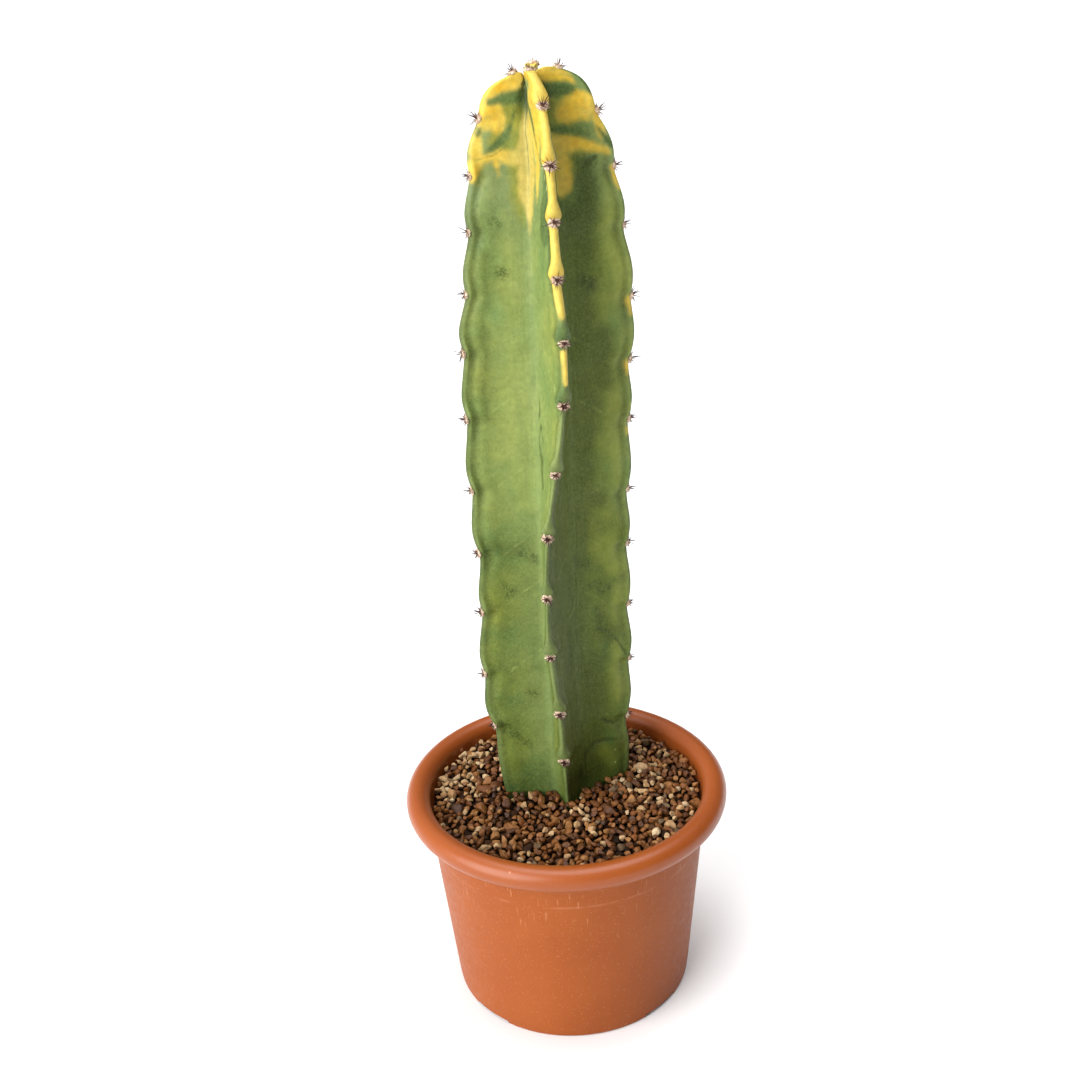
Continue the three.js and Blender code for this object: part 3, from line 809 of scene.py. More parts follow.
# Soft dark stains in the skin.
SMUDGES = {
    "left": [
        [(-0.6, 217, 2.0), (-0.5, 215, 2.2), (-0.57, 213, 1.6)],
        [(-0.5, 365, 2.2), (-0.42, 364, 2.6)],
        [(-0.62, 386, 1.6), (-0.5, 385, 1.4)],
        [(-0.35, 234, 1.8), (-0.12, 230, 2.2)],
        [(-0.88, 143, 2.6), (-0.7, 137, 3.2)],
        [(-0.3, 160, 2.0), (-0.22, 158, 1.6)],
        [(-0.55, 134, 1.8), (-0.4, 130, 1.6)],
    ],
    "right": [
        [(0.5, 408, 1.6), (0.6, 406, 2.0), (0.66, 407, 1.2)],
        [(0.3, 358, 2.4), (0.42, 356, 2.4)],
        [(0.05, 227, 1.6), (0.24, 225, 1.8)],
        [(0.25, 213, 1.3), (0.42, 214, 1.8), (0.5, 209, 1.8), (0.62, 210, 1.4)],
        [(0.4, 200, 1.4), (0.46, 197, 1.6)],
        [(-0.3, 196, 1.4), (-0.28, 182, 2.0), (-0.3, 171, 1.4)],
        [(-0.1, 114, 3), (0.0, 107, 4)],
    ],
    "back_left": [[(0.3, 300, 2.0), (0.42, 297, 2.0)], [(-0.5, 200, 2.1), (-0.4, 196, 2.4)]],
    "back_right": [[(-0.4, 330, 2.3), (-0.5, 327, 2.0)], [(0.4, 240, 2.4), (0.5, 236, 2.1)]],
}

# Thin folds, sunk a little and darkened: dark lines in the skin, and painted shade in the folds. The two
# widest, in the crown's valleys on both sides of the front rib, paint the shadow in the recess there.
# The faintest have a half width below 0, and CREASE_WIDENED is added to all of them.
CREASES = {
    "left": [
        [(-0.22, 442, 2.2), (0.0, 440.5, 3.0), (0.05, 435, 2.8), (0.02, 430.5, 1.0)],
        [(-0.95, 410.6, -0.4), (-0.6, 412.4, -0.15), (-0.35, 415.5, -0.4)],
        [(0.0, 437, 0.1), (0.0, 424, -0.1), (0.0, 408, -0.2), (0.0, 394, -0.45)],
        [(0.3, 428, 0.1), (0.5, 420, 0.2), (0.66, 412, 0.15), (0.74, 409, -0.1)],
        [(0.02, 318, 0.15), (0.08, 300, 0.3), (0.2, 291, 0.35), (0.24, 287, 0.2)],
        [(0.1, 286, 0.2), (0.16, 276, 0.35), (0.14, 266, 0.15)],
        [(-0.08, 372, -0.6), (-0.08, 300, -0.45), (-0.1, 252, -0.6)],
        [(0.04, 300, 0.2), (0.06, 285, 0.3), (0.04, 262, 0.2)],
        [(0.5, 256, 0.2), (0.62, 246, 0.35), (0.6, 240, 0.2)],
        [(-0.55, 113.6, -0.3), (-0.42, 112.4, 0.1), (-0.28, 110.6, -0.3)],
    ],
    "right": [
        [(-0.3, 441.5, 2.2), (-0.05, 440.5, 2.0)],
        [(0.48, 404.5, 0.2), (0.58, 407.5, 1.1), (0.7, 409, 0.3)],
        [(0.02, 114, 0.5), (0.08, 122, 0.7), (0.25, 127, 0.6), (0.55, 126.5, 0.45), (0.75, 125, 0.2)],
        [(0.45, 139, 0.2), (0.58, 136.5, 0.8), (0.74, 134.6, 0.3)],
        [(0.56, 187, 0.15), (0.72, 181, 0.35), (0.9, 172, 0.15)],
        [(0.4, 189, 0.3), (0.5, 188, 0.4), (0.58, 187, 0.2)],
    ],
    "back_left": [
        [(0.05, 117, -0.4), (0.14, 123, 0.0), (0.3, 127.4, 0.1), (0.5, 128.6, 0.0), (0.7, 127, -0.5)],
        [(0.0, 420, 0.1), (0.0, 395, -0.4)],
        [(0.5, 246, -0.5), (0.64, 243.5, -0.1), (0.8, 238, -0.5)],
    ],
    "back_right": [
        [(-0.2, 130, -0.5), (-0.34, 129.2, 0.0), (-0.48, 127, 0.1), (-0.58, 122, -0.5)],
        [(0.0, 420, 0.1), (0.0, 395, -0.4)],
    ],
}

# Pale scars.
SCARS = {
    "left": [
        [(0.6, 322, 0.2), (0.75, 318.5, 0.42), (0.86, 315.5, 0.12)],
        [(-0.47, 211.5, 0.3), (-0.46, 211.5, 0.3)],
        [(-0.38, 211.3, 0.3), (-0.37, 211.3, 0.3)],
        [(-0.3, 211.0, 0.3), (-0.29, 211.0, 0.3)],
        [(0.72, 414, 0.12), (0.84, 400, 0.3), (0.93, 392, 0.12)],
        [(0.3, 330, 0.1), (0.42, 322, 0.3), (0.5, 318, 0.1)],
    ],
    "right": [[(0.97, 300, 0.3), (0.97, 296, 0.3)]],
    "back_left": [[(-0.3, 260, 0.3), (-0.2, 257, 0.3)]],
    "back_right": [[(0.3, 310, 0.3), (0.36, 306, 0.3)]],
}
MAPS = dict(
    yellow=YELLOW, mixed=MIXED, green_patch=GREEN, deep=DEEP, pale=PALE_GREEN, smudge=SMUDGES, crease=CREASES,
    scar=SCARS,
)

# How far from its edge the front rib is yellow: (height, inset on its left side, inset on its right side).
FRONT_EDGE = [
    (452, 6, 6), (436, 6, 5), (424, 5, 3.2), (419, 4.4, 1.4), (413, 3.4, 1.2), (409, 3.4, 4), (403, 2.2, 2.6),
    (397, 1.8, 0.6), (393, 2.8, 1.6), (390, 4, 4),
    (385, 3, 4), (372, 2.8, 4), (366, 4, 4), (360, 2.4, 4), (354, 1.4, 3.2), (350, 0, 1.4), (348, -2, -2),
    (337, -2, -2), (335.5, 0.9, 1.8), (329, 0.5, 1.8), (322, 0, 1.2), (320, -2, -2),
]


def stroke_depth(across, height, strokes):
    """How deep inside the nearest stroke each place lies, in millimetres, negative outside."""
    depth = np.full(across.shape, FAR_OUTSIDE)
    x = across * FACE_WIDTH
    for stroke in strokes:
        for (a0, z0, w0), (a1, z1, w1) in zip(stroke, stroke[1:]):
            start_x, run_x, run_z = a0 * FACE_WIDTH, (a1 - a0) * FACE_WIDTH, z1 - z0
            length = max(run_x ** 2 + run_z ** 2, 1e-6)
            share = np.clip(((x - start_x) * run_x + (height - z0) * run_z) / length, 0, 1)
            away = np.hypot(x - start_x - share * run_x, height - z0 - share * run_z)
            depth = np.maximum(depth, w0 + (w1 - w0) * share - away)
    return depth


# ---- Marks and relief of the stem --------------------------------------------------------------------

BROAD_LUMPS = dict(size=26, height=0.4, seed=11)
SMALL_LUMPS = dict(size=8, height=0.14, seed=12)
CREASE_WIDENED = 0.45
CREASE_SINK = 0.5
CREASE_DEEPEST = 0.8

# Two pale veins rise from below each cushion towards the valley. half_width is in millimetres, narrows by
# fade within from_edge of the rib's edge, and thinner makes the upper one finer.
VEIN = dict(drop=8, wander=3, bend=0.9, half_width=0.3, from_edge=(6, 13), fade=3, slope=0.8)
VEIN_PAIR = [dict(lift=0, rise=22, thinner=0), dict(lift=11, rise=16.5, thinner=0.5)]

# A shallow fold leaves each cushion and sinks by drop on its way over the flank.
CUSHION_FOLD = dict(start=2, drop=7, over=(4, 12), depth=0.1, spread=2.2, inset=7, inset_spread=3)
FOLD_FROM = (2.5, 5)

# Deep pleats run down the valleys of the crown, darkened in the finish as painted shade.
CROWN_PLEAT = dict(spread=0.15, from_to=(421, 432), depth=1.8)

# A waxy bloom lies in the valleys of two faces, along the edges and on the crown.
BLOOM = dict(valley=0.5, valley_spread=0.45, edge=0.5, edge_spread=2.5, crown=0.6, crown_from=(380, 400))
BLOOM_FACES = ("left", "back_right")
RIGHT_BLOOM_FROM = (0.45, 0.7)

OLD_SKIN = (262, 232)
VALLEY_TONE_SPREAD = 0.32
# The edges of the left and right ribs get painted shade, below the crown.
EDGE_SHADE_RIBS = ("right", "left")
EDGE_SHADE = dict(most=0.75, from_to=(402, 385))

# Painted shade on the right face: its skin is darkened and made less blue, less so towards its far edge
# and not at the ribs' edges.
SHADED = dict(far_edge=0.2, fades=(0.5, 0.9), from_edge=(2.5, 6))
# The upper stem is darker and bluer: a little on most faces, and fully on the right face, where this is
# painted shade that fades towards the far edge.
DUSKY = dict(left=0.3, right=1.0, back_left=0.5, back_right=0.5)
DUSKY_FROM = (364, 392)
DUSKY_FADES = (0.5, 0.85)

# The relief fades towards the growing point, in narrow places and on the ribs' edges.
RELIEF_TIP = (1.0, 3.0)
RELIEF_REACH = (5, 16)
RELIEF_EDGE = 0.35
RELIEF_EDGE_TO = (1, 6)


def vein_and_fold(rib, lifts, height, inset, inward):
    """How deep inside a vein each place of a column lies, and how much of a cushion's fold it has."""
    vein = np.full_like(height, -9.0)
    fold = np.zeros_like(height)
    for stop, wanders in zip(rib["stations"][1:], lifts[1:]):
        cushion = edge_at(rib, np.array([stop]))[1][0]
        for each, wander in zip(VEIN_PAIR, wanders):
            line = cushion - VEIN["drop"] + wander * VEIN["wander"] + each["lift"]
            line = line + each["rise"] * inward ** VEIN["bend"]
            fade = VEIN["fade"] * (1 - smooth(inset, *VEIN["from_edge"])) + each["thinner"]
            vein = np.maximum(vein, VEIN["half_width"] - VEIN["slope"] * np.abs(height - line) - fade)
        start, width = CUSHION_FOLD["over"]
        sunk = CUSHION_FOLD["drop"] * np.clip((inset - start) / width, 0, 1)
        across = bell(inset, CUSHION_FOLD["inset"], CUSHION_FOLD["inset_spread"])
        fold += bell(height, cushion - CUSHION_FOLD["start"] - sunk, CUSHION_FOLD["spread"]) * across
    return vein, fold


def bloom_on(face, height, inset, inward, across):
    """How much of the waxy bloom each place of a column has."""
    in_valley = BLOOM["valley"] * bell(1 - inward, 0, BLOOM["valley_spread"]) * (face in BLOOM_FACES)
    on_edge = BLOOM["edge"] * bell(inset, 0, BLOOM["edge_spread"])
    held = smooth(across, *RIGHT_BLOOM_FROM) if face == "right" else 1
    return in_valley + on_edge + BLOOM["crown"] * held * smooth(height, *BLOOM["crown_from"])


def skin_marks(rows, columns, points):
    """What the finish reads at each point of the skin, and how far the surface stands up there."""
    marks = {name: np.zeros(points.shape[:2]) for name in STEM_MARKS}
    relief = np.zeros(points.shape[:2])
    for each in (BROAD_LUMPS, SMALL_LUMPS):
        relief += each["height"] * lumps(points, each["size"], each["seed"])
    edge_yellow = np.array(FRONT_EDGE)[::-1]
    draw = np.random.default_rng(14)
    vein_lifts = [draw.uniform(-1, 1, (len(rib["stations"]), len(VEIN_PAIR))) for rib in RIBS]
    for i, column in enumerate(columns):
        height = points[:, i, 2]
        inset = column["inset"] + 0 * height
        inward = np.clip(inset / column["reach"], 0, 1)
        across = -column["side"] * (1 - inward)
        face = FACES[column["face"]]
        rib = RIBS[column["rib"]]
        here = {mark: stroke_depth(across, height, strokes[face]) for mark, strokes in MAPS.items()}
        if rib["name"] == "front":
            yellow_to = np.interp(height, edge_yellow[:, 0], edge_yellow[:, 1 if column["side"] < 0 else 2])
            here["yellow"] = np.maximum(here["yellow"], yellow_to - inset)
        here["crease"] = here["crease"] + CREASE_WIDENED
        pleat = bell(1 - inward, 0, CROWN_PLEAT["spread"]) * smooth(height, *CROWN_PLEAT["from_to"])
        here["groove"] = np.maximum(column["groove"], pleat)
        here["vein"], fold = vein_and_fold(rib, vein_lifts[column["rib"]], height, inset, inward)
        here["bloom"] = bloom_on(face, height, inset, inward, across)
        here["inset"] = inset
        here["old"] = smooth(height, *OLD_SKIN)
        here["valley"] = bell(1 - inward, 0, VALLEY_TONE_SPREAD)
        # Painted shade on the edges of the left and right ribs.
        if rib["name"] in EDGE_SHADE_RIBS:
            here["edge_painted_shade"] = EDGE_SHADE["most"] * smooth(height, *EDGE_SHADE["from_to"])
        # The upper stem darkens, fully on the right face as painted shade.
        here["dusky"] = DUSKY[face] * smooth(height, *DUSKY_FROM)
        # On the right face: painted shade, and the upper stem's darkening fades towards the far edge.
        if face == "right":
            shaded = 1 - (1 - SHADED["far_edge"]) * smooth(across, *SHADED["fades"])
            here["shaded"] = shaded * smooth(inset, *SHADED["from_edge"])
            here["dusky"] = here["dusky"] * (1 - smooth(across, *DUSKY_FADES))
        for mark, values in here.items():
            marks[mark][:, i] = values
        relief[:, i] -= CROWN_PLEAT["depth"] * pleat
        relief[:, i] -= smooth(inset, *FOLD_FROM) * CUSHION_FOLD["depth"] * fold
        relief[:, i] -= CREASE_SINK * np.clip(here["crease"], 0, CREASE_DEEPEST)
    relief *= smooth(LAST_STATION - rows, *RELIEF_TIP)[:, None]
    relief *= np.stack([smooth(column["reach"], *RELIEF_REACH) for column in columns], 1)
    edges = np.stack([smooth(column["inset"] + 0 * rows, *RELIEF_EDGE_TO) for column in columns], 1)
    return marks, relief * up_from(RELIEF_EDGE, edges)


# ---- Finish of the stem ------------------------------------------------------------------------------

# Patches read from the marks: how far and how finely their borders wander, and how soft they are.
SKIN_PATCHES = dict(
    deep=(6.0, 11.0, 5.0),
    pale=(3.0, 9.0, 4.0),
    vein=(1.3, 3.5, 0.6),
    vein_shadow=(1.3, 3.5, 1.6),
    mixed=(2.0, 6.0, 3.0),
    yellow=(1.7, 5.0, 1.9),
    rim_yellow=(0.5, 4.0, 1.0),
    green_patch=(1.4, 4.5, 1.5),
    smudge=(3.0, 8.0, 3.0),
    scribble=(3.0, 3.0, 1.5),
    crease=(0.35, 2.0, 0.5),
    scar=(0.2, 1.5, 0.3),
)

# How fully the olive and the deep green patches cover what is under them.
PATCH_COVER = 0.92

# Tones laid over the skin: the share laid on at most, and the colour.
SKIN_TONES = dict(
    young_dark=(0.5, colour(86, 106, 50)),
    old_dark=(0.5, colour(82, 90, 26)),
    deep=(0.82, colour(68, 80, 24)),
    pale=(0.45, colour(150, 158, 76)),
    bloom=(1.0, colour(130, 148, 104)),
    vein=(1.0, colour(152, 168, 96)),
    vein_shadow=(0.4, colour(60, 80, 32)),
    valley_streaks=(0.45, colour(100, 120, 68)),
    yellow_greened=(0.42, colour(166, 158, 70)),
    yellow_valley=(0.72, colour(172, 163, 100)),
    rim_yellow=(0.35, colour(232, 206, 110)),
    crease=(0.78, colour(44, 56, 24)),
    scar=(0.8, colour(200, 204, 130)),
    flakes=(0.7, colour(190, 196, 150)),
    fine=(0.14, colour(160, 168, 90)),
    pores=(0.22, colour(160, 174, 110)),
    small=(0.25, colour(54, 72, 32)),
)

# Tints that darken the skin: the share at most, and what each channel is multiplied by.
SKIN_TINTS = dict(
    # Darker and bluer upper stem, painted shade on the right face.
    dusky=(1.0, (0.6, 0.68, 0.9, 1.0)),
    # Painted shade on the right face: on its skin, its yellow and its green patches.
    shaded=(1.0, (0.82, 0.84, 0.52, 1.0)),
    shaded_yellow=(1.0, (0.95, 0.88, 0.45, 1.0)),
    shaded_patch=(1.0, (0.72, 0.74, 0.55, 1.0)),
    # Painted shade in the necks and the crown's pleats.
    groove=(0.95, (0.42, 0.45, 0.36, 1.0)),
    # Painted shade on the edges of the left and right ribs.
    edge_painted_shade=(1.0, (0.5, 0.52, 0.6, 1.0)),
    smudge=(0.42, (0.5, 0.55, 0.45, 1.0)),
    scribble=(0.8, (0.3, 0.36, 0.26, 1.0)),
    foot=(1.0, (0.55, 0.62, 0.62, 1.0)),
)


def make_skin():
    """Waxy skin: green by age and place, then yellow with green patches, then what marks and ages it.
    Painted shade darkens the right face, the upper stem, the rib edges, the necks and the creases.
    """
    material, tree, shader, place = new_material("waxy cactus skin")
    wide = blotches(tree, place, 28.0, 3.0, 1.3)
    middling = blotches(tree, place, 9.0, 5.0, 1.4)
    small = blotches(tree, place, 2.4, 5.0, 1.2)
    height = part_of(tree, place, 2)
    inset = mark_of(tree, "inset")

    def patch(mark, kind=None):
        """A mark as a ragged patch. kind names its border where that isn't the mark's own."""
        wander, size, softness = SKIN_PATCHES[kind or mark]
        border = dict(Wander=wander, Size=size, Softness=softness)
        return use(tree, RAGGED, Place=place, Depth=mark_of(tree, mark), **border)["Mask"]

    def lay(tone, name, mask):
        """Lays a named tone over the skin."""
        share, over = SKIN_TONES[name]
        return blend(tree, times(tree, mask, share), tone, over)

    def tint(tone, name, mask):
        """Darkens the skin by a named tint."""
        share, over = SKIN_TINTS[name]
        return darken(tree, times(tree, mask, share), tone, over)

    young = blend(tree, wide, colour(106, 130, 72), colour(140, 145, 68))
    young = lay(young, "young_dark", middling)
    old = blend(tree, wide, colour(72, 100, 50), colour(110, 118, 40))
    old = lay(old, "old_dark", middling)
    tone = blend(tree, mark_of(tree, "old"), young, old)
    # Deeper green; over most of the right face this is painted shade.
    tone = lay(tone, "deep", patch("deep"))
    # Pale green, near the right face's far edge partly painted light.
    tone = lay(tone, "pale", patch("pale"))
    tone = lay(tone, "bloom", times(tree, mark_of(tree, "bloom"), scale_to(tree, wide, 0.1, 0.9, 0.3, 0.6)))
    vein = patch("vein")
    tone = lay(tone, "vein", times(tree, vein, scale_to(tree, middling, 0.2, 0.9, 0.1, 0.5)))
    tone = lay(tone, "vein_shadow", calc(tree, "SUBTRACT", patch("vein", "vein_shadow"), vein))
    streaks = blotches(tree, stretched(tree, place, 0.05), 1.1, 3.0, 1.8)
    tone = lay(tone, "valley_streaks", times(tree, streaks, mark_of(tree, "valley")))
    # The upper stem darker and bluer, fully on the right face as painted shade.
    tone = tint(tone, "dusky", mark_of(tree, "dusky"))
    # Painted shade over the right face.
    tone = tint(tone, "shaded", mark_of(tree, "shaded"))

    olive = blend(tree, middling, colour(142, 138, 50), colour(108, 118, 46))
    tone = blend(tree, times(tree, patch("mixed"), PATCH_COVER), tone, olive)
    yellow = blend(tree, middling, colour(220, 188, 78), colour(212, 164, 34))
    yellow = lay(yellow, "yellow_greened", blotches(tree, place, 7.0, 4.0, 1.6))
    yellow = lay(yellow, "yellow_valley", mark_of(tree, "valley"))
    # The right face's painted shade on the yellow.
    yellow = tint(yellow, "shaded_yellow", mark_of(tree, "shaded"))
    tone = blend(tree, patch("yellow"), tone, yellow)
    green = blend(tree, middling, colour(56, 80, 42), colour(80, 102, 54))
    # The right face's painted shade on the green patches.
    green = tint(green, "shaded_patch", mark_of(tree, "shaded"))
    tone = blend(tree, times(tree, patch("green_patch"), PATCH_COVER), tone, green)

    # Painted shade in the necks and the crown's pleats.
    tone = tint(tone, "groove", mark_of(tree, "groove"))
    # Painted shade on the edges of the left and right ribs.
    tone = tint(tone, "edge_painted_shade", times(tree, scale_to(tree, inset, 1.5, 0.2), mark_of(tree, "edge_painted_shade")))
    rim = times(tree, scale_to(tree, inset, 2.2, 0.6), patch("yellow", "rim_yellow"))
    tone = lay(tone, "rim_yellow", rim)
    tone = tint(tone, "smudge", patch("smudge"))
    scribble = blotches(tree, place, 2.6, 3.0, 1.0)
    line = scale_to(tree, calc(tree, "ABSOLUTE", calc(tree, "SUBTRACT", scribble, 0.5)), 0.16, 0.04)
    tone = tint(tone, "scribble", times(tree, patch("smudge", "scribble"), line))
    # Creases: dark lines, and painted shade in the folds.
    tone = lay(tone, "crease", patch("crease"))
    tone = lay(tone, "scar", patch("scar"))
    tone = tint(tone, "foot", scale_to(tree, height, 124.0, 106.0))
    flakes = times(tree, dots(tree, place, 3.6, 0.42, 0.22), scale_to(tree, height, 150.0, 112.0))
    tone = lay(tone, "flakes", flakes)
    tone = lay(tone, "fine", blotches(tree, place, 1.0, 2.0, 1.7))
    tone = lay(tone, "pores", dots(tree, place, 1.6, 0.26, 0.3))
    tone = lay(tone, "small", small)
    tree.links.new(tone, shader.inputs["Base Color"])
    tree.links.new(scale_to(tree, small, 0.0, 1.0, 0.4, 0.56), shader.inputs["Roughness"])
    shader.inputs["Specular IOR Level"].default_value = 0.18
    emboss(tree, shader, grain(tree, place, 3.5, 0.5, 0.3), 0.3)
    return material


# ---- Spine cushions ----------------------------------------------------------------------------------

WOOL_RADIUS = 2.9
WOOL_HEIGHT = 0.95
WOOL_PAD = (0.86, 0.68)
WOOL_LUMPS = dict(size=0.7, depth=0.16, seed=5)
WOOL_SHADES = (0.2, 0.9)
WOOL_HAIRS = 190
# Hairs start this far out from the middle, as a share of the pad, except where the ring of hairs has gaps.
HAIR_SPREAD = (0.35, 1.0)
HAIR_GAPS = dict(waves=2.5, start=1.3, below=-0.6)
HAIR = dict(length=1.25, radius=0.1, sides_and_steps=(3, 3))
# A spine's length is crown on the uppermost cushions and foot on the lowest.
SPINE = dict(radius=0.17, crown=6.8, foot=3.2, sides_and_steps=(6, 5))
# Every third spine stands out from the middle, the others lie closer to the skin.
SPINE_COUNT = (13, 17)
SPINE_TURN = 2.4
UPRIGHT_LEAN = (5, 35)
SPREAD_LEAN = (42, 80)
CUSHION_SIZES = (0.92, 1.08)


def cushion_frame(rib, station):
    """The place of a cushion and its own axes: across the rib, up it and away from the stem."""
    radius, height, bearing, outward, upward = (float(v[0]) for v in edge_at(rib, np.array([station])))
    across = np.array([-math.sin(bearing), math.cos(bearing), 0])
    away = np.array([math.cos(bearing) * outward, math.sin(bearing) * outward, upward])
    centre = stem_point(np.array(bearing), np.array(radius), np.array(0.0), np.array(height))
    return centre, np.stack([across, np.cross(away, across), away])


def horn(start, direction, bend, length, radius, sides, steps):
    """A tapered, slightly bent spine or hair: points and triangles."""
    direction = direction / np.linalg.norm(direction)
    side = np.cross(direction, bend)
    side /= np.linalg.norm(side) + 1e-9
    other = np.cross(direction, side)
    angles = 2 * math.pi * np.arange(sides) / sides
    rings = []
    for step in range(steps):
        share = step / steps
        centre = start + direction * length * share + bend * length * share ** 2
        width = radius * (1 - share) ** 0.75
        rings.append(centre + width * (np.cos(angles)[:, None] * side + np.sin(angles)[:, None] * other))
    tip = start + direction * length + bend * length
    points = np.concatenate(rings + [tip[None], start[None]])
    ring = np.arange(sides)
    turned = (ring + 1) % sides
    faces = []
    for step in range(steps - 1):
        low, high = step * sides, (step + 1) * sides
        faces += [np.stack([ring + low, turned + low, turned + high], -1)]
        faces += [np.stack([ring + low, turned + high, ring + high], -1)]
    last, end, root = (steps - 1) * sides, steps * sides, steps * sides + 1
    faces.append(np.stack([ring + last, turned + last, np.full(sides, end)], -1))
    faces.append(np.stack([turned, ring, np.full(sides, root)], -1))
    faces = np.concatenate(faces)
    along = np.concatenate([np.repeat(np.arange(steps) / steps, sides), [1.0, 0.0]])
    return points, faces[:, ::-1], along


def wool_dome(draw):
    """A low lumpy pad with tufts of short hairs round it, darker in its middle: points, triangles, shade."""
    points, faces = ball(3)
    dark, light = WOOL_SHADES
    shade = dark + (light - dark) * smooth(np.hypot(points[:, 0], points[:, 1]), 0.15, 0.75)
    points = points * np.array([WOOL_RADIUS * WOOL_PAD[0], WOOL_RADIUS * WOOL_PAD[1], WOOL_HEIGHT])
    bumps = lumps(points + draw.uniform(0, 50, 3), WOOL_LUMPS["size"], WOOL_LUMPS["seed"])
    points = points * (1 + WOOL_LUMPS["depth"] * bumps)[:, None]
    parts = [(points, faces, shade)]
    for _ in range(WOOL_HAIRS):
        spread = draw.uniform(*HAIR_SPREAD)
        heading = draw.uniform(0, 2 * math.pi)
        if math.sin(heading * HAIR_GAPS["waves"] + HAIR_GAPS["start"]) < HAIR_GAPS["below"]:
            continue
        flat = np.array([math.cos(heading), 0.82 * math.sin(heading), 0])
        start = flat * spread * WOOL_RADIUS * 0.8 + np.array([0, 0, WOOL_HEIGHT * (1 - spread ** 2) * 0.7])
        direction = flat * (0.2 + 0.7 * spread) + np.array([0, 0, 0.8]) + draw.normal(0, 0.3, 3)
        length = HAIR["length"] * draw.uniform(0.5, 1.15)
        bend = draw.normal(0, 0.25, 3)
        radius, sides_and_steps = HAIR["radius"], HAIR["sides_and_steps"]
        hair, hair_faces, along = horn(start, direction, bend, length, radius, *sides_and_steps)
        parts.append((hair, hair_faces, 0.55 + 0.3 * spread + 0.15 * along))
    return gather(parts)


def gather(parts):
    """Joins lists of (points, faces, shade) into one."""
    points, faces, shades, count = [], [], [], 0
    for part_points, part_faces, part_shade in parts:
        points.append(part_points)
        faces.append(np.asarray(part_faces) + count)
        shades.append(np.broadcast_to(part_shade, len(part_points)))
        count += len(part_points)
    return np.concatenate(points), np.concatenate(faces), np.concatenate(shades)


BALLS = {}


def ball(level):
    """A unit ball of even triangles."""
    if level not in BALLS:
        mesh = bmesh.new()
        bmesh.ops.create_icosphere(mesh, subdivisions=level, radius=1.0)
        mesh.verts.ensure_lookup_table()
        points = np.array([vert.co[:] for vert in mesh.verts])
        faces = np.array([[vert.index for vert in face.verts] for face in mesh.faces])
        mesh.free()
        BALLS[level] = (points, faces)
    return BALLS[level]


def spine_set(draw, age, grown):
    """The spines of one cushion: points, triangles and the share along each. age is 0 at the crown and
    grown is less than 1 on the youngest cushions."""
    parts = []
    shrink = age ** 0.9
    length = grown * (SPINE["crown"] + (SPINE["foot"] - SPINE["crown"]) * shrink)
    spread_lean = (SPREAD_LEAN[0] + 14 * shrink, SPREAD_LEAN[1] + 4 * shrink)
    for i in range(int(draw.integers(*SPINE_COUNT))):
        heading = SPINE_TURN * i + draw.uniform(-0.4, 0.4)
        upright = i % 3 == 0
        lean = math.radians(draw.uniform(*(UPRIGHT_LEAN if upright else spread_lean)))
        direction = np.array([
            math.sin(lean) * math.cos(heading), math.sin(lean) * math.sin(heading), math.cos(lean)
        ])
        start = direction * np.array([0.8, 0.6, 0.3]) + np.array([0, 0, 0.25 + 0.6 * shrink])
        reach = length * draw.uniform(*((0.7, 1.05) if upright else (0.45, 0.95)))
        width = SPINE["radius"] * draw.uniform(0.75, 1.25) * (1 + 0.5 * shrink)
        bend = draw.normal(0, 0.07, 3)
        parts.append(horn(start, direction, bend, reach, width, *SPINE["sides_and_steps"]))
    return gather(parts)


def make_shaded_piece(name, parts):
    """One piece from (points, faces, shade) parts."""
    points, faces, shade = gather(parts)
    return make_piece(name, points, [faces], {"shade": shade})


def make_cushions():
    """The wool and the spines of each rib's cushions."""
    wool_material, spine_material = make_wool(), make_spine_finish()
    draw = np.random.default_rng(21)
    for rib in RIBS:
        wool_parts, spine_parts, nodes = [], [], []
        for i, station in enumerate(rib["stations"]):
            centre, axes = cushion_frame(rib, station)
            age = i / (len(rib["stations"]) - 1)
            grown = rib["tip_spines"] if i == 0 else 1.0
            size = draw.uniform(*CUSHION_SIZES)
            for parts, (points, faces, shade) in (
                (wool_parts, wool_dome(draw)), (spine_parts, spine_set(draw, age, grown))
            ):
                parts.append((centre + points * size @ axes, faces, shade))
            nodes.append(f"areole_{rib['name']}_{i + 1:02d}")
        dress(make_shaded_piece(f"wool_{rib['name']}", wool_parts), wool_material, "spine_cushion", *nodes)
        dress(make_shaded_piece(f"spines_{rib['name']}", spine_parts), spine_material, "spine_cushion")


def make_wool():
    """Cream wool, darker in the middle of each cushion."""
    material, tree, shader, place = new_material("areole wool")
    patch = blotches(tree, place, 0.9, 3.0, 1.6)
    light = blend(tree, patch, colour(226, 208, 184), colour(168, 134, 112))
    dark = blend(tree, patch, colour(124, 84, 68), colour(66, 40, 34))
    tone = blend(tree, scale_to(tree, mark_of(tree, "shade"), 0.3, 0.8), dark, light)
    tree.links.new(tone, shader.inputs["Base Color"])
    shader.inputs["Roughness"].default_value = 0.9
    shader.inputs["Specular IOR Level"].default_value = 0.2
    emboss(tree, shader, grain(tree, place, 0.5, 0.15, 0.5), 0.15)
    return material


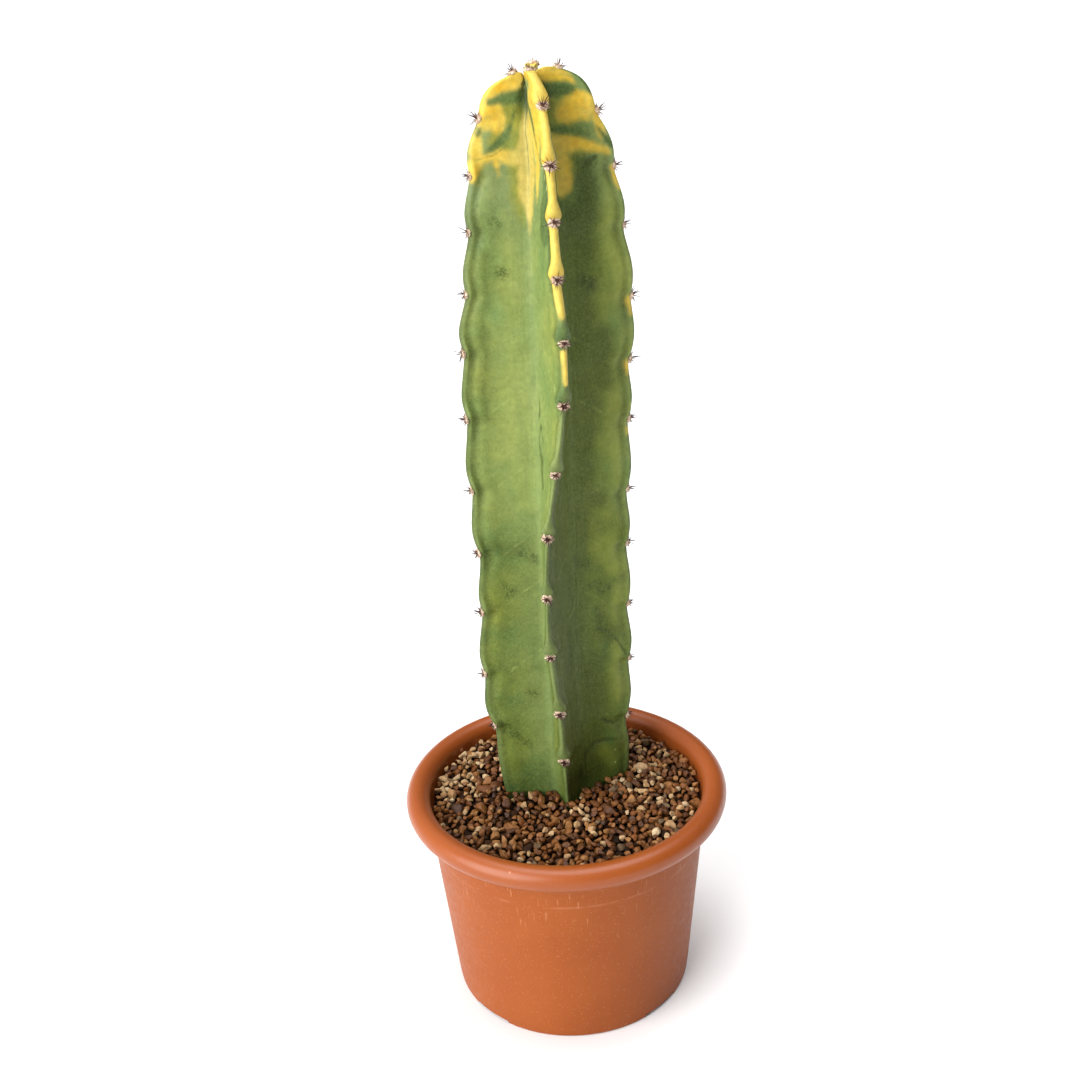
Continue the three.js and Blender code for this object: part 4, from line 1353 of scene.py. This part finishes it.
def make_spine_finish():
    """Brown spines, darker towards the tip."""
    material, tree, shader, place = new_material("stiff brown spines")
    along = mark_of(tree, "shade")
    patch = blotches(tree, place, 2.0, 2.0, 1.6)
    root_tone = blend(tree, patch, colour(48, 26, 24), colour(92, 56, 48))
    tone = blend(tree, scale_to(tree, along, 0.2, 0.9), root_tone, colour(38, 20, 22))
    tree.links.new(tone, shader.inputs["Base Color"])
    shader.inputs["Roughness"].default_value = 0.5
    shader.inputs["Specular IOR Level"].default_value = 0.3
    emboss(tree, shader, grain(tree, place, 0.6, 0.15, 0.4), 0.04)
    return material


# ---- Pot ---------------------------------------------------------------------------------------------

POT_SIDES = 288
HOLE_SIDES = 48
WALL_FROM = 6
SEAM_HEIGHT = 84
SEAM_PROUD = 0.02
COLLAR_HEIGHT = 93.2
COLLAR_PROUD = 0.3
SHARP_ANGLE = 32


def wall_radius(height):
    """The outer radius of the tapered wall."""
    return FOOT_RADIUS + (WALL_TOP_RADIUS - FOOT_RADIUS) * height / WALL_TOP


def arc(x, y, radius, start, end, steps):
    """Points of an arc between two angles in degrees."""
    angles = np.radians(np.linspace(start, end, steps + 1))
    return [(x + radius * math.cos(a), y + radius * math.sin(a)) for a in angles]


def pot_profile():
    """The pot's section, from the foot ring's inner side up the outside and down the inside."""
    ring_inner = FOOT_RADIUS - FOOT_RING_WIDTH
    inner_foot = wall_radius(FLOOR_TOP + FLOOR_CORNER) - WALL
    outer = [(wall_radius(z), z) for z in np.linspace(WALL_FROM, SEAM_HEIGHT - 2, 16)]
    # The moulding seam, a hair's breadth proud of the wall.
    seam = [
        (wall_radius(SEAM_HEIGHT - 0.6), SEAM_HEIGHT - 0.6),
        (wall_radius(SEAM_HEIGHT) + SEAM_PROUD, SEAM_HEIGHT - 0.2),
        (wall_radius(SEAM_HEIGHT) + SEAM_PROUD, SEAM_HEIGHT + 0.3),
        (wall_radius(SEAM_HEIGHT + 0.8), SEAM_HEIGHT + 0.8),
    ]
    upper = [(wall_radius(z), z) for z in (87, 90, 92, COLLAR_HEIGHT - 0.4)]
    collar = [(wall_radius(COLLAR_HEIGHT) + COLLAR_PROUD, COLLAR_HEIGHT + 0.3)]
    fillet = arc(BEAD_CENTRE[0] + COLLAR_PROUD, WALL_TOP, BEAD_FILLET, 180, 90, 12)
    bead = arc(*BEAD_CENTRE, BEAD_RADIUS, -90, 180, 48)[1:]
    inner = [(WALL_TOP_RADIUS - WALL, WALL_TOP)]
    corner = arc(inner_foot - FLOOR_CORNER, FLOOR_TOP + FLOOR_CORNER, FLOOR_CORNER, 0, -90, 6)
    foot = arc(FOOT_RADIUS - FOOT_EDGE_RADIUS, FOOT_EDGE_RADIUS, FOOT_EDGE_RADIUS, -90, 0, 6)
    foot_inner = [(ring_inner, FOOT_RING_HEIGHT), (ring_inner, 0.4), (ring_inner + 0.4, 0)]
    return foot_inner + foot + outer + seam + upper + collar + fillet + bead + inner + corner


def turned_solid(profile, sides):
    """A profile turned about the Z axis, closed by a point of the axis at each end."""
    profile = np.array(profile)
    angles = 2 * math.pi * np.arange(sides) / sides
    points = np.stack([
        np.outer(profile[:, 0], np.cos(angles)),
        np.outer(profile[:, 0], np.sin(angles)),
        np.outer(profile[:, 1], np.ones(sides)),
    ], -1).reshape(-1, 3)
    ends = np.array([[0, 0, profile[0, 1]], [0, 0, profile[-1, 1]]])
    return np.concatenate([points, ends]), closed_rings(len(profile), sides)


def cutter_parts():
    """The drain holes and foot notches as closed pieces to cut away."""
    parts = []
    holes = [(MIDDLE_HOLE_RADIUS, 0, 0)]
    for i in range(RING_HOLE_COUNT):
        holes.append((RING_HOLE_RADIUS, RING_HOLE_CIRCLE, 2 * math.pi * i / RING_HOLE_COUNT))
    for radius, circle, bearing in holes:
        profile = [(radius, FOOT_RING_HEIGHT - FLOOR), (radius, FLOOR_TOP + FLOOR)]
        points, (walls, caps) = turned_solid(profile, HOLE_SIDES)
        points = points + [circle * math.cos(bearing), circle * math.sin(bearing), 0]
        tris = np.concatenate([walls[:, [0, 1, 2]], walls[:, [0, 2, 3]], caps])
        parts.append((points, tris, 0.0))
    half = NOTCH_WIDTH / 2
    for i in range(NOTCH_COUNT):
        bearing = 2 * math.pi * (i + 0.5) / NOTCH_COUNT
        out = np.array([math.cos(bearing), math.sin(bearing), 0])
        side = np.array([-out[1], out[0], 0])
        base = out * (FOOT_RADIUS - FOOT_RING_WIDTH / 2)
        corners = []
        for z, spread in ((-NOTCH_HEIGHT, half + 1), (NOTCH_HEIGHT, half - 0.8)):
            for a, b in ((-1, -1), (1, -1), (1, 1), (-1, 1)):
                flat = base + out * a * 1.5 * FOOT_RING_WIDTH + side * b * spread
                corners.append(flat + np.array([0, 0, z]))
        tris = np.array([
            [0, 2, 1], [0, 3, 2], [4, 5, 6], [4, 6, 7], [0, 1, 5], [0, 5, 4],
            [1, 2, 6], [1, 6, 5], [2, 3, 7], [2, 7, 6], [3, 0, 4], [3, 4, 7],
        ])
        parts.append((np.array(corners), tris, 0.0))
    return gather(parts)


def make_pot():
    """The turned pot with its drain holes and foot notches cut out."""
    points, faces = turned_solid(pot_profile(), POT_SIDES)
    pot = make_piece("flowerpot", points, faces)
    cut_points, cut_faces, _ = cutter_parts()
    cutter = make_piece("cutter", cut_points, [cut_faces])
    cut = pot.modifiers.new("cut", "BOOLEAN")
    cut.operation = "DIFFERENCE"
    cut.solver = "EXACT"
    cut.object = cutter
    finished = pot.evaluated_get(bpy.context.evaluated_depsgraph_get())
    pot.data = bpy.data.meshes.new_from_object(finished)
    pot.modifiers.clear()
    bpy.data.objects.remove(cutter)
    pot.data.shade_smooth()
    pot.data.set_sharp_from_angle(angle=math.radians(SHARP_ANGLE))
    dress(pot, make_plastic(), "pot_plastic", "pot")


def make_plastic():
    """Moulded plastic: a glossier rim, fine pale specks, short scratches under the rim and a worn seam."""
    material, tree, shader, place = new_material("terracotta coloured plastic")
    height = part_of(tree, place, 2)
    wide = blotches(tree, place, 34.0, 3.0, 0.9)
    small = blotches(tree, place, 3.0, 4.0, 1.0)
    tone = blend(tree, wide, colour(145, 74, 27), colour(136, 66, 23))
    tone = blend(tree, times(tree, small, 0.25), tone, colour(154, 84, 40))
    rim = scale_to(tree, height, 96.0, 106.0)
    tone = blend(tree, times(tree, rim, 0.5), tone, colour(142, 68, 24))
    specks = times(tree, dots(tree, place, 1.1, 0.3, 0.5), 0.15)
    broad = times(tree, dots(tree, place, 2.6, 0.5, 0.25), 0.13)
    lower = scale_to(tree, height, 104.0, 80.0, 0.3, 1.0)
    tone = blend(tree, times(tree, calc(tree, "MAXIMUM", specks, broad), lower), tone, colour(214, 160, 126))

    streaks = dots(tree, stretched(tree, place, 0.08), 1.3, 0.34, 0.6)
    zone = times(tree, scale_to(tree, height, 66.0, 76.0), scale_to(tree, height, 96.0, 90.0))
    worn = blotches(tree, place, 12.0, 2.0, 2.4)
    scratch = times(tree, streaks, zone, scale_to(tree, worn, 0.0, 1.0, 0.3, 1.0))
    tone = blend(tree, times(tree, scratch, 0.32), tone, colour(206, 146, 106))
    from_seam = calc(tree, "ABSOLUTE", calc(tree, "SUBTRACT", height, float(SEAM_HEIGHT)))
    seam = times(tree, scale_to(tree, from_seam, 0.9, 0.2), worn)
    tone = blend(tree, times(tree, seam, 0.12), tone, colour(222, 156, 120))
    chip = times(tree, dots(tree, place, 14.0, 1.0, 0.16), rim)
    tone = blend(tree, times(tree, chip, 0.7), tone, colour(230, 172, 140))
    tree.links.new(tone, shader.inputs["Base Color"])

    rough = calc(tree, "SUBTRACT", scale_to(tree, small, 0.0, 1.0, 0.4, 0.54), times(tree, rim, 0.12))
    rough = calc(tree, "ADD", rough, times(tree, scratch, 0.2))
    tree.links.new(rough, shader.inputs["Roughness"])
    shader.inputs["Specular IOR Level"].default_value = 0.16
    tree.links.new(times(tree, rim, 0.45), shader.inputs["Coat Weight"])
    shader.inputs["Coat Roughness"].default_value = 0.34
    cuts = times(tree, calc(tree, "ADD", scratch, chip), 0.5)
    emboss(tree, shader, calc(tree, "SUBTRACT", grain(tree, place, 4.0, 0.5, 0.25), cuts), 0.12)
    return material


# ---- Soil and gravel ---------------------------------------------------------------------------------

BED_TOP = 98.5
BED_RADIUS = 66.6
GRAIN_TOP = 104.9
SEEN_DEPTH = 3.4
GRAIN_RADII = (1.3, 2.35)
BIG_SHARE = 0.08
BIG_RADII = (2.6, 3.6)
BIG_PROUD = 0.6
GRAIN_TRIES = 16000
GRAINS_TO_A_PIECE = 600
HASH_CELL = 6.5
WALL_CLEAR = 67.7
STEM_CLEAR = 0.85
# Stones are cut from a ball of radius 1 by flats, made lumpy and then fuller.
ROCK = dict(flats=(9, 15), cut=(0.42, 0.72), bite=0.98, lumps=0.05, fullness=1.24)
MAP_HALF = 70.0
MAP_STEP = 0.5
# Each grain tries these shifts and stays where it lies lowest. Grains sink into each other a little.
SHIFTS = ((0, 0), (1.3, 0), (-1.3, 0), (0, 1.3), (0, -1.3))
TOUCH = 0.9
BED_SINK = 0.3
TOP_REACH = 0.8
MOUND = dict(x=38, y=5, rise=2.2, spread=13)

# Places where pale grains gather: (x, y, spread, share of cream there).
PALE_PLACES = [
    (-60, 6, 14, 0.9), (-50, 38, 15, 0.85), (6, -20, 7, 0.75), (38, 4, 11, 0.72), (52, -12, 10, 0.3),
    (-23, -43, 9, 0.3), (50, 30, 10, 0.15), (-40, -15, 10, 0.15), (10, 55, 12, 0.4),
]
LEAST_CREAM = 0.08
BROWN_SHARE = 0.6
TAN_SHARE = 0.365

# The finishes: tones that the grains take, the tone and share of their pits, roughness, relief and gloss.
STONES = dict(
    brown=dict(
        tones=[(58, 32, 13), (94, 53, 20), (116, 68, 26), (74, 41, 16), (132, 76, 28)],
        pits=(28, 15, 6), pit_share=0.35, rough=0.5, relief=0.25, shine=0.3,
    ),
    tan=dict(
        tones=[(108, 64, 26), (132, 84, 40), (150, 104, 57), (120, 65, 23)],
        pits=(66, 36, 13), pit_share=0.3, rough=0.52, relief=0.22, shine=0.3,
    ),
    cream=dict(
        tones=[(172, 137, 97), (192, 163, 122), (155, 116, 76), (203, 180, 144)],
        pits=(112, 76, 44), pit_share=0.3, rough=0.8, relief=0.2, shine=0.15,
    ),
    grey=dict(
        tones=[(102, 80, 58), (124, 102, 76), (84, 62, 42)],
        pits=(56, 38, 24), pit_share=0.3, rough=0.7, relief=0.18, shine=0.15,
    ),
)
# Grains under the top ones take dark tones: painted shade between the grains.
SHADED_STONE = dict(
    tones=[(30, 17, 8), (48, 28, 13), (60, 36, 17)],
    pits=(18, 10, 5), pit_share=0.35, rough=0.85, relief=0.2, shine=0.15,
)
# The bed under the grains is near black: dust, and painted shade deep between the grains.
DUST_AND_GAP_SHADE = dict(
    tones=[(20, 12, 6), (34, 20, 10)],
    pits=(12, 7, 4), pit_share=0.4, rough=0.9, relief=0.4, shine=0.15,
)


def stem_outline(height):
    """The stem's outline at a height, as seen from above."""
    outline = []
    for index, rib in enumerate(RIBS):
        fine = np.linspace(1, 5, 400)
        station = np.array([np.interp(height, edge_at(rib, fine)[1], fine)])
        radius, _, bearing, _, _ = edge_at(rib, station)
        for angle in np.radians(np.linspace(-90, 90, 9)):
            point = stem_point(
                bearing, radius - EDGE_ROUND + EDGE_ROUND * math.cos(angle), EDGE_ROUND * math.sin(angle),
                np.array([float(height)]),
            )
            outline.append(point[0, :2])
        outline.append(valley_at(index, station)[0, :2])
    return np.array(outline)


def distance_map(outline, half, step):
    """Distance from the outline on a square grid, negative inside it."""
    ticks = np.arange(-half, half + step, step)
    x, y = np.meshgrid(ticks, ticks, indexing="ij")
    least = np.full(x.shape, 1e9)
    inside = np.zeros(x.shape, bool)
    for (x0, y0), (x1, y1) in zip(outline, np.roll(outline, -1, 0)):
        run_x, run_y = x1 - x0, y1 - y0
        share = np.clip(((x - x0) * run_x + (y - y0) * run_y) / (run_x ** 2 + run_y ** 2 + 1e-9), 0, 1)
        least = np.minimum(least, np.hypot(x - x0 - share * run_x, y - y0 - share * run_y))
        crosses = ((y0 > y) != (y1 > y)) & (x < (x1 - x0) * (y - y0) / (y1 - y0 + 1e-12) + x0)
        inside ^= crosses
    return np.where(inside, -least, least)


def resting_height(cells, x, y, radius):
    """How high a grain comes to rest on the bed and the grains already there."""
    z = BED_TOP + BED_SINK * radius
    cell_x, cell_y = int(x // HASH_CELL), int(y // HASH_CELL)
    for i in (cell_x - 1, cell_x, cell_x + 1):
        for j in (cell_y - 1, cell_y, cell_y + 1):
            for other_x, other_y, other_z, other_radius in cells.get((i, j), ()):
                touch = TOUCH * (other_radius + radius)
                apart = (other_x - x) ** 2 + (other_y - y) ** 2
                if apart < touch * touch:
                    z = max(z, other_z + math.sqrt(touch * touch - apart))
    return z


def drop_grains():
    """Grains dropped one by one onto those below, each as (x, y, z, radius)."""
    draw = np.random.default_rng(5)
    clear = distance_map(stem_outline(103), MAP_HALF, MAP_STEP)
    cells, grains = {}, []
    for _ in range(GRAIN_TRIES):
        big = draw.random() < BIG_SHARE
        radius = draw.uniform(*(BIG_RADII if big else GRAIN_RADII))
        reach = math.sqrt(draw.random()) * (WALL_CLEAR - radius)
        heading = draw.uniform(0, 2 * math.pi)
        best = None
        for shift_x, shift_y in SHIFTS:
            x, y = reach * math.cos(heading) + shift_x, reach * math.sin(heading) + shift_y
            if math.hypot(x, y) > WALL_CLEAR - radius:
                continue
            if clear[int((x + MAP_HALF) / MAP_STEP), int((y + MAP_HALF) / MAP_STEP)] < STEM_CLEAR * radius:
                continue
            z = resting_height(cells, x, y, radius)
            if best is None or z < best[2]:
                best = (x, y, z)
        if best is None:
            continue
        x, y, z = best
        away = ((x - MOUND["x"]) ** 2 + (y - MOUND["y"]) ** 2) / MOUND["spread"] ** 2
        level = GRAIN_TOP + MOUND["rise"] * math.exp(-away) + (BIG_PROUD if big else 0)
        if z + TOP_REACH * radius > level:
            continue
        grain_here = (x, y, z, radius)
        grains.append(grain_here)
        cells.setdefault((int(x // HASH_CELL), int(y // HASH_CELL)), []).append(grain_here)
    return grains


def rock_shapes(level, count, seed):
    """Rounded angular stones cut from a ball by random flats, a little larger than the ball was."""
    draw = np.random.default_rng(seed)
    points, faces = ball(level)
    shapes = []
    for _ in range(count):
        rock = points.copy()
        for _ in range(draw.integers(*ROCK["flats"])):
            way = draw.normal(size=3)
            way /= np.linalg.norm(way)
            over = rock @ way - draw.uniform(*ROCK["cut"])
            rock -= ROCK["bite"] * np.maximum(over, 0)[:, None] * way
        bumps = lumps(rock * 4 + draw.uniform(0, 30, 3), 1.0, int(draw.integers(1e6)))
        rock *= 1 + ROCK["lumps"] * bumps[:, None]
        shapes.append(rock * ROCK["fullness"])
    return shapes, faces


def turn_at_random(draw):
    """A random rotation that leaves a flat stone mostly lying down."""
    heading = Matrix.Rotation(draw.uniform(0, 2 * math.pi), 3, "Z")
    lean = Matrix.Rotation(draw.normal(0, 0.55), 3, "X")
    roll = Matrix.Rotation(draw.uniform(0, 2 * math.pi), 3, "Z")
    return np.array(heading @ lean @ roll)


def kind_of(draw, x, y):
    """Which kind of stone lies at a place."""
    cream = LEAST_CREAM
    for px, py, spread, share in PALE_PLACES:
        cream = max(cream, share * math.exp(-(((x - px) ** 2 + (y - py) ** 2) / spread ** 2)))
    pick = draw.random()
    if pick < cream:
        return "cream"
    pick = (pick - cream) / (1 - cream)
    if pick < BROWN_SHARE:
        return "brown"
    return "tan" if pick < BROWN_SHARE + TAN_SHARE else "grey"


def make_gravel():
    """The loose grains: fine ones where they show, sorted by kind, and rougher ones under them, made dark
    as painted shade.
    """
    draw = np.random.default_rng(8)
    fine_shapes, fine_faces = rock_shapes(3, 14, 3)
    rough_shapes, rough_faces = rock_shapes(2, 10, 4)
    parts = {kind: [] for kind in STONES}
    hidden = []
    for x, y, z, radius in drop_grains():
        seen = z > GRAIN_TOP - SEEN_DEPTH
        shapes, faces = (fine_shapes, fine_faces) if seen else (rough_shapes, rough_faces)
        shape = shapes[draw.integers(len(shapes))]
        stretch = np.array([draw.uniform(1.0, 1.3), draw.uniform(0.85, 1.05), draw.uniform(0.68, 0.9)])
        points = (shape * (radius * stretch)) @ turn_at_random(draw).T + [x, y, z]
        kind = kind_of(draw, x, y)
        part = (points, faces, draw.random())
        (parts[kind] if seen else hidden).append(part)
    for kind, finish in STONES.items():
        material = make_stone(f"{kind} stone", finish)
        for n, start in enumerate(range(0, len(parts[kind]), GRAINS_TO_A_PIECE)):
            piece = make_shaded_piece(f"gravel_{kind}_{n + 1}", parts[kind][start:start + GRAINS_TO_A_PIECE])
            dress(piece, material, "gravel", *(["top_dressing"] if kind == "brown" and n == 0 else []))
    deep = make_shaded_piece("gravel_lower_layer", hidden)
    dress(deep, make_stone("shaded stone", SHADED_STONE), "gravel")


def make_stone(name, finish):
    """A stone finish: each grain takes its own tone, with pits, dust and a fine relief."""
    material, tree, shader, place = new_material(name)
    ramp = put(tree, "ShaderNodeValToRGB", {0: mark_of(tree, "shade")})
    bar = ramp.color_ramp
    while len(bar.elements) < len(finish["tones"]):
        bar.elements.new(0.5)
    for i, tone in enumerate(finish["tones"]):
        bar.elements[i].position = i / (len(finish["tones"]) - 1)
        bar.elements[i].color = colour(*tone)
    pit_tone = colour(*finish["pits"])
    tone = blend(tree, times(tree, blotches(tree, place, 1.6, 4.0, 1.5), 0.45), ramp.outputs[0], pit_tone)
    pits = dots(tree, place, 0.8, 0.2, finish["pit_share"])
    tone = blend(tree, times(tree, pits, 0.5), tone, pit_tone)
    tree.links.new(tone, shader.inputs["Base Color"])
    shader.inputs["Roughness"].default_value = finish["rough"]
    shader.inputs["Specular IOR Level"].default_value = finish["shine"]
    relief = calc(tree, "SUBTRACT", grain(tree, place, 0.9, 0.25, 0.4), times(tree, pits, 0.6))
    emboss(tree, shader, relief, finish["relief"])
    return material


def make_bed():
    """The closed layer under the loose grains, near black with dust and painted shade."""
    top = [(r, BED_TOP) for r in np.linspace(BED_RADIUS, 2, 40)]
    points, faces = turned_solid([(2, GRAVEL_BOTTOM), (BED_RADIUS - 0.2, GRAVEL_BOTTOM)] + top, 160)
    upper = points[:, 2] > BED_TOP - 1
    points[upper, 2] += 0.5 * lumps(points[upper], 1.6, 31) + 0.3 * lumps(points[upper], 4, 32)
    bed = make_piece("gravel_bed", points, faces, {"shade": 0.3 + 0.2 * lumps(points, 2, 33)})
    dress(bed, make_stone("dust and painted shade between the grains", DUST_AND_GAP_SHADE), "gravel")


def dress_soil():
    """The potting mix keeps its solid and gets a crumbly finish. It shows only through the drain holes."""
    material, tree, shader, place = new_material("potting mix")
    crumbs = blotches(tree, place, 2.5, 5.0, 1.8)
    tone = blend(tree, crumbs, colour(38, 26, 18), colour(82, 58, 40))
    grit = dots(tree, place, 3.0, 0.7, 0.2)
    tone = blend(tree, times(tree, grit, 0.8), tone, colour(196, 180, 150))
    tree.links.new(tone, shader.inputs["Base Color"])
    shader.inputs["Roughness"].default_value = 0.95
    emboss(tree, shader, grain(tree, place, 2.2, 0.6, 0.4), 1.2)
    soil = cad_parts["potting_soil"]
    soil.data.materials.clear()
    soil.data.materials.append(material)


# ---- Stage, light and camera -------------------------------------------------------------------------


FLOOR_REACH = 12000
FLOOR_TONE = (0.86, 0.86, 0.865, 1)

# Far soft lights: where they come from, in degrees, how wide they look from the object and how strong.
LIGHTS = {
    "overhead softbox": dict(azimuth=60, elevation=85, spread=50, strength=2.9),
    "key softbox": dict(azimuth=-140, elevation=23, spread=55, strength=4.6),
}
LIGHT_AWAY = 2
# The room is brightest in this direction.
ROOM_BRIGHT_WAY = (-0.85, -0.3, 0.4)

# The camera's place in metres and its turns about X, Y and Z in degrees.
CAMERA_PLACE = (0, -0.5562, 0.4713)
CAMERA_TURNS = (67.396, 2.729, -0.452)
LENS = 43.333
SENSOR_WIDTH = 36


def make_stage():
    """A pale floor."""
    corners = np.array([[-1, -1, 0], [1, -1, 0], [1, 1, 0], [-1, 1, 0]], float)
    floor = make_piece("floor", corners * FLOOR_REACH, [np.array([[0, 1, 2, 3]])])
    material, _, shader, _ = new_material("pale floor")
    shader.inputs["Base Color"].default_value = FLOOR_TONE
    shader.inputs["Roughness"].default_value = 0.85
    shader.inputs["Specular IOR Level"].default_value = 0.2
    floor.data.materials.append(material)


def make_light(name, azimuth, elevation, spread, strength):
    """A far soft light that shines on the object from a direction."""
    lamp = bpy.data.lights.new(name, "SUN")
    lamp.angle = math.radians(spread)
    lamp.energy = strength
    light = bpy.data.objects.new(name, lamp)
    flat = math.cos(math.radians(elevation))
    turn = math.radians(azimuth)
    way = Vector((flat * math.cos(turn), flat * math.sin(turn), math.sin(math.radians(elevation))))
    light.location = LIGHT_AWAY * way
    light.rotation_euler = (-way).to_track_quat("-Z", "Y").to_euler()
    bpy.context.scene.collection.objects.link(light)


def make_studio():
    """A white room, brighter on the left, whose floor reaches far back, with wide soft lights."""
    world = bpy.data.worlds.new("studio")
    world.use_nodes = True
    tree = world.node_tree
    way = put(tree, "ShaderNodeTexCoord").outputs["Generated"]
    side = put(tree, "ShaderNodeVectorMath", {0: way, 1: ROOM_BRIGHT_WAY}, operation="DOT_PRODUCT")
    room = scale_to(tree, side.outputs["Value"], -0.3, 1.0, 0.06, 0.7)
    behind = scale_to(tree, part_of(tree, way, 1), 0.6, 0.9)
    far_floor = times(tree, scale_to(tree, part_of(tree, way, 2), 0.03, 0.16, 1.08, 0.0), behind)
    tree.links.new(calc(tree, "MAXIMUM", room, far_floor), tree.nodes["Background"].inputs["Strength"])
    tree.nodes["Background"].inputs["Color"].default_value = (1.0, 1.0, 1.0, 1)
    bpy.context.scene.world = world
    for name, values in LIGHTS.items():
        make_light(name, **values)
    bpy.context.scene.view_settings.view_transform = "Standard"


def make_camera():
    """The camera, above the front of the pot and looking down."""
    lens = bpy.data.cameras.new("camera")
    lens.sensor_width = SENSOR_WIDTH
    lens.lens = LENS
    camera = bpy.data.objects.new("camera", lens)
    camera.location = CAMERA_PLACE
    camera.rotation_euler = [math.radians(turn) for turn in CAMERA_TURNS]
    bpy.context.scene.collection.objects.link(camera)
    bpy.context.scene.camera = camera


make_camera()
make_studio()
make_stage()
make_stem()
make_cushions()
make_pot()
make_gravel()
make_bed()
dress_soil()
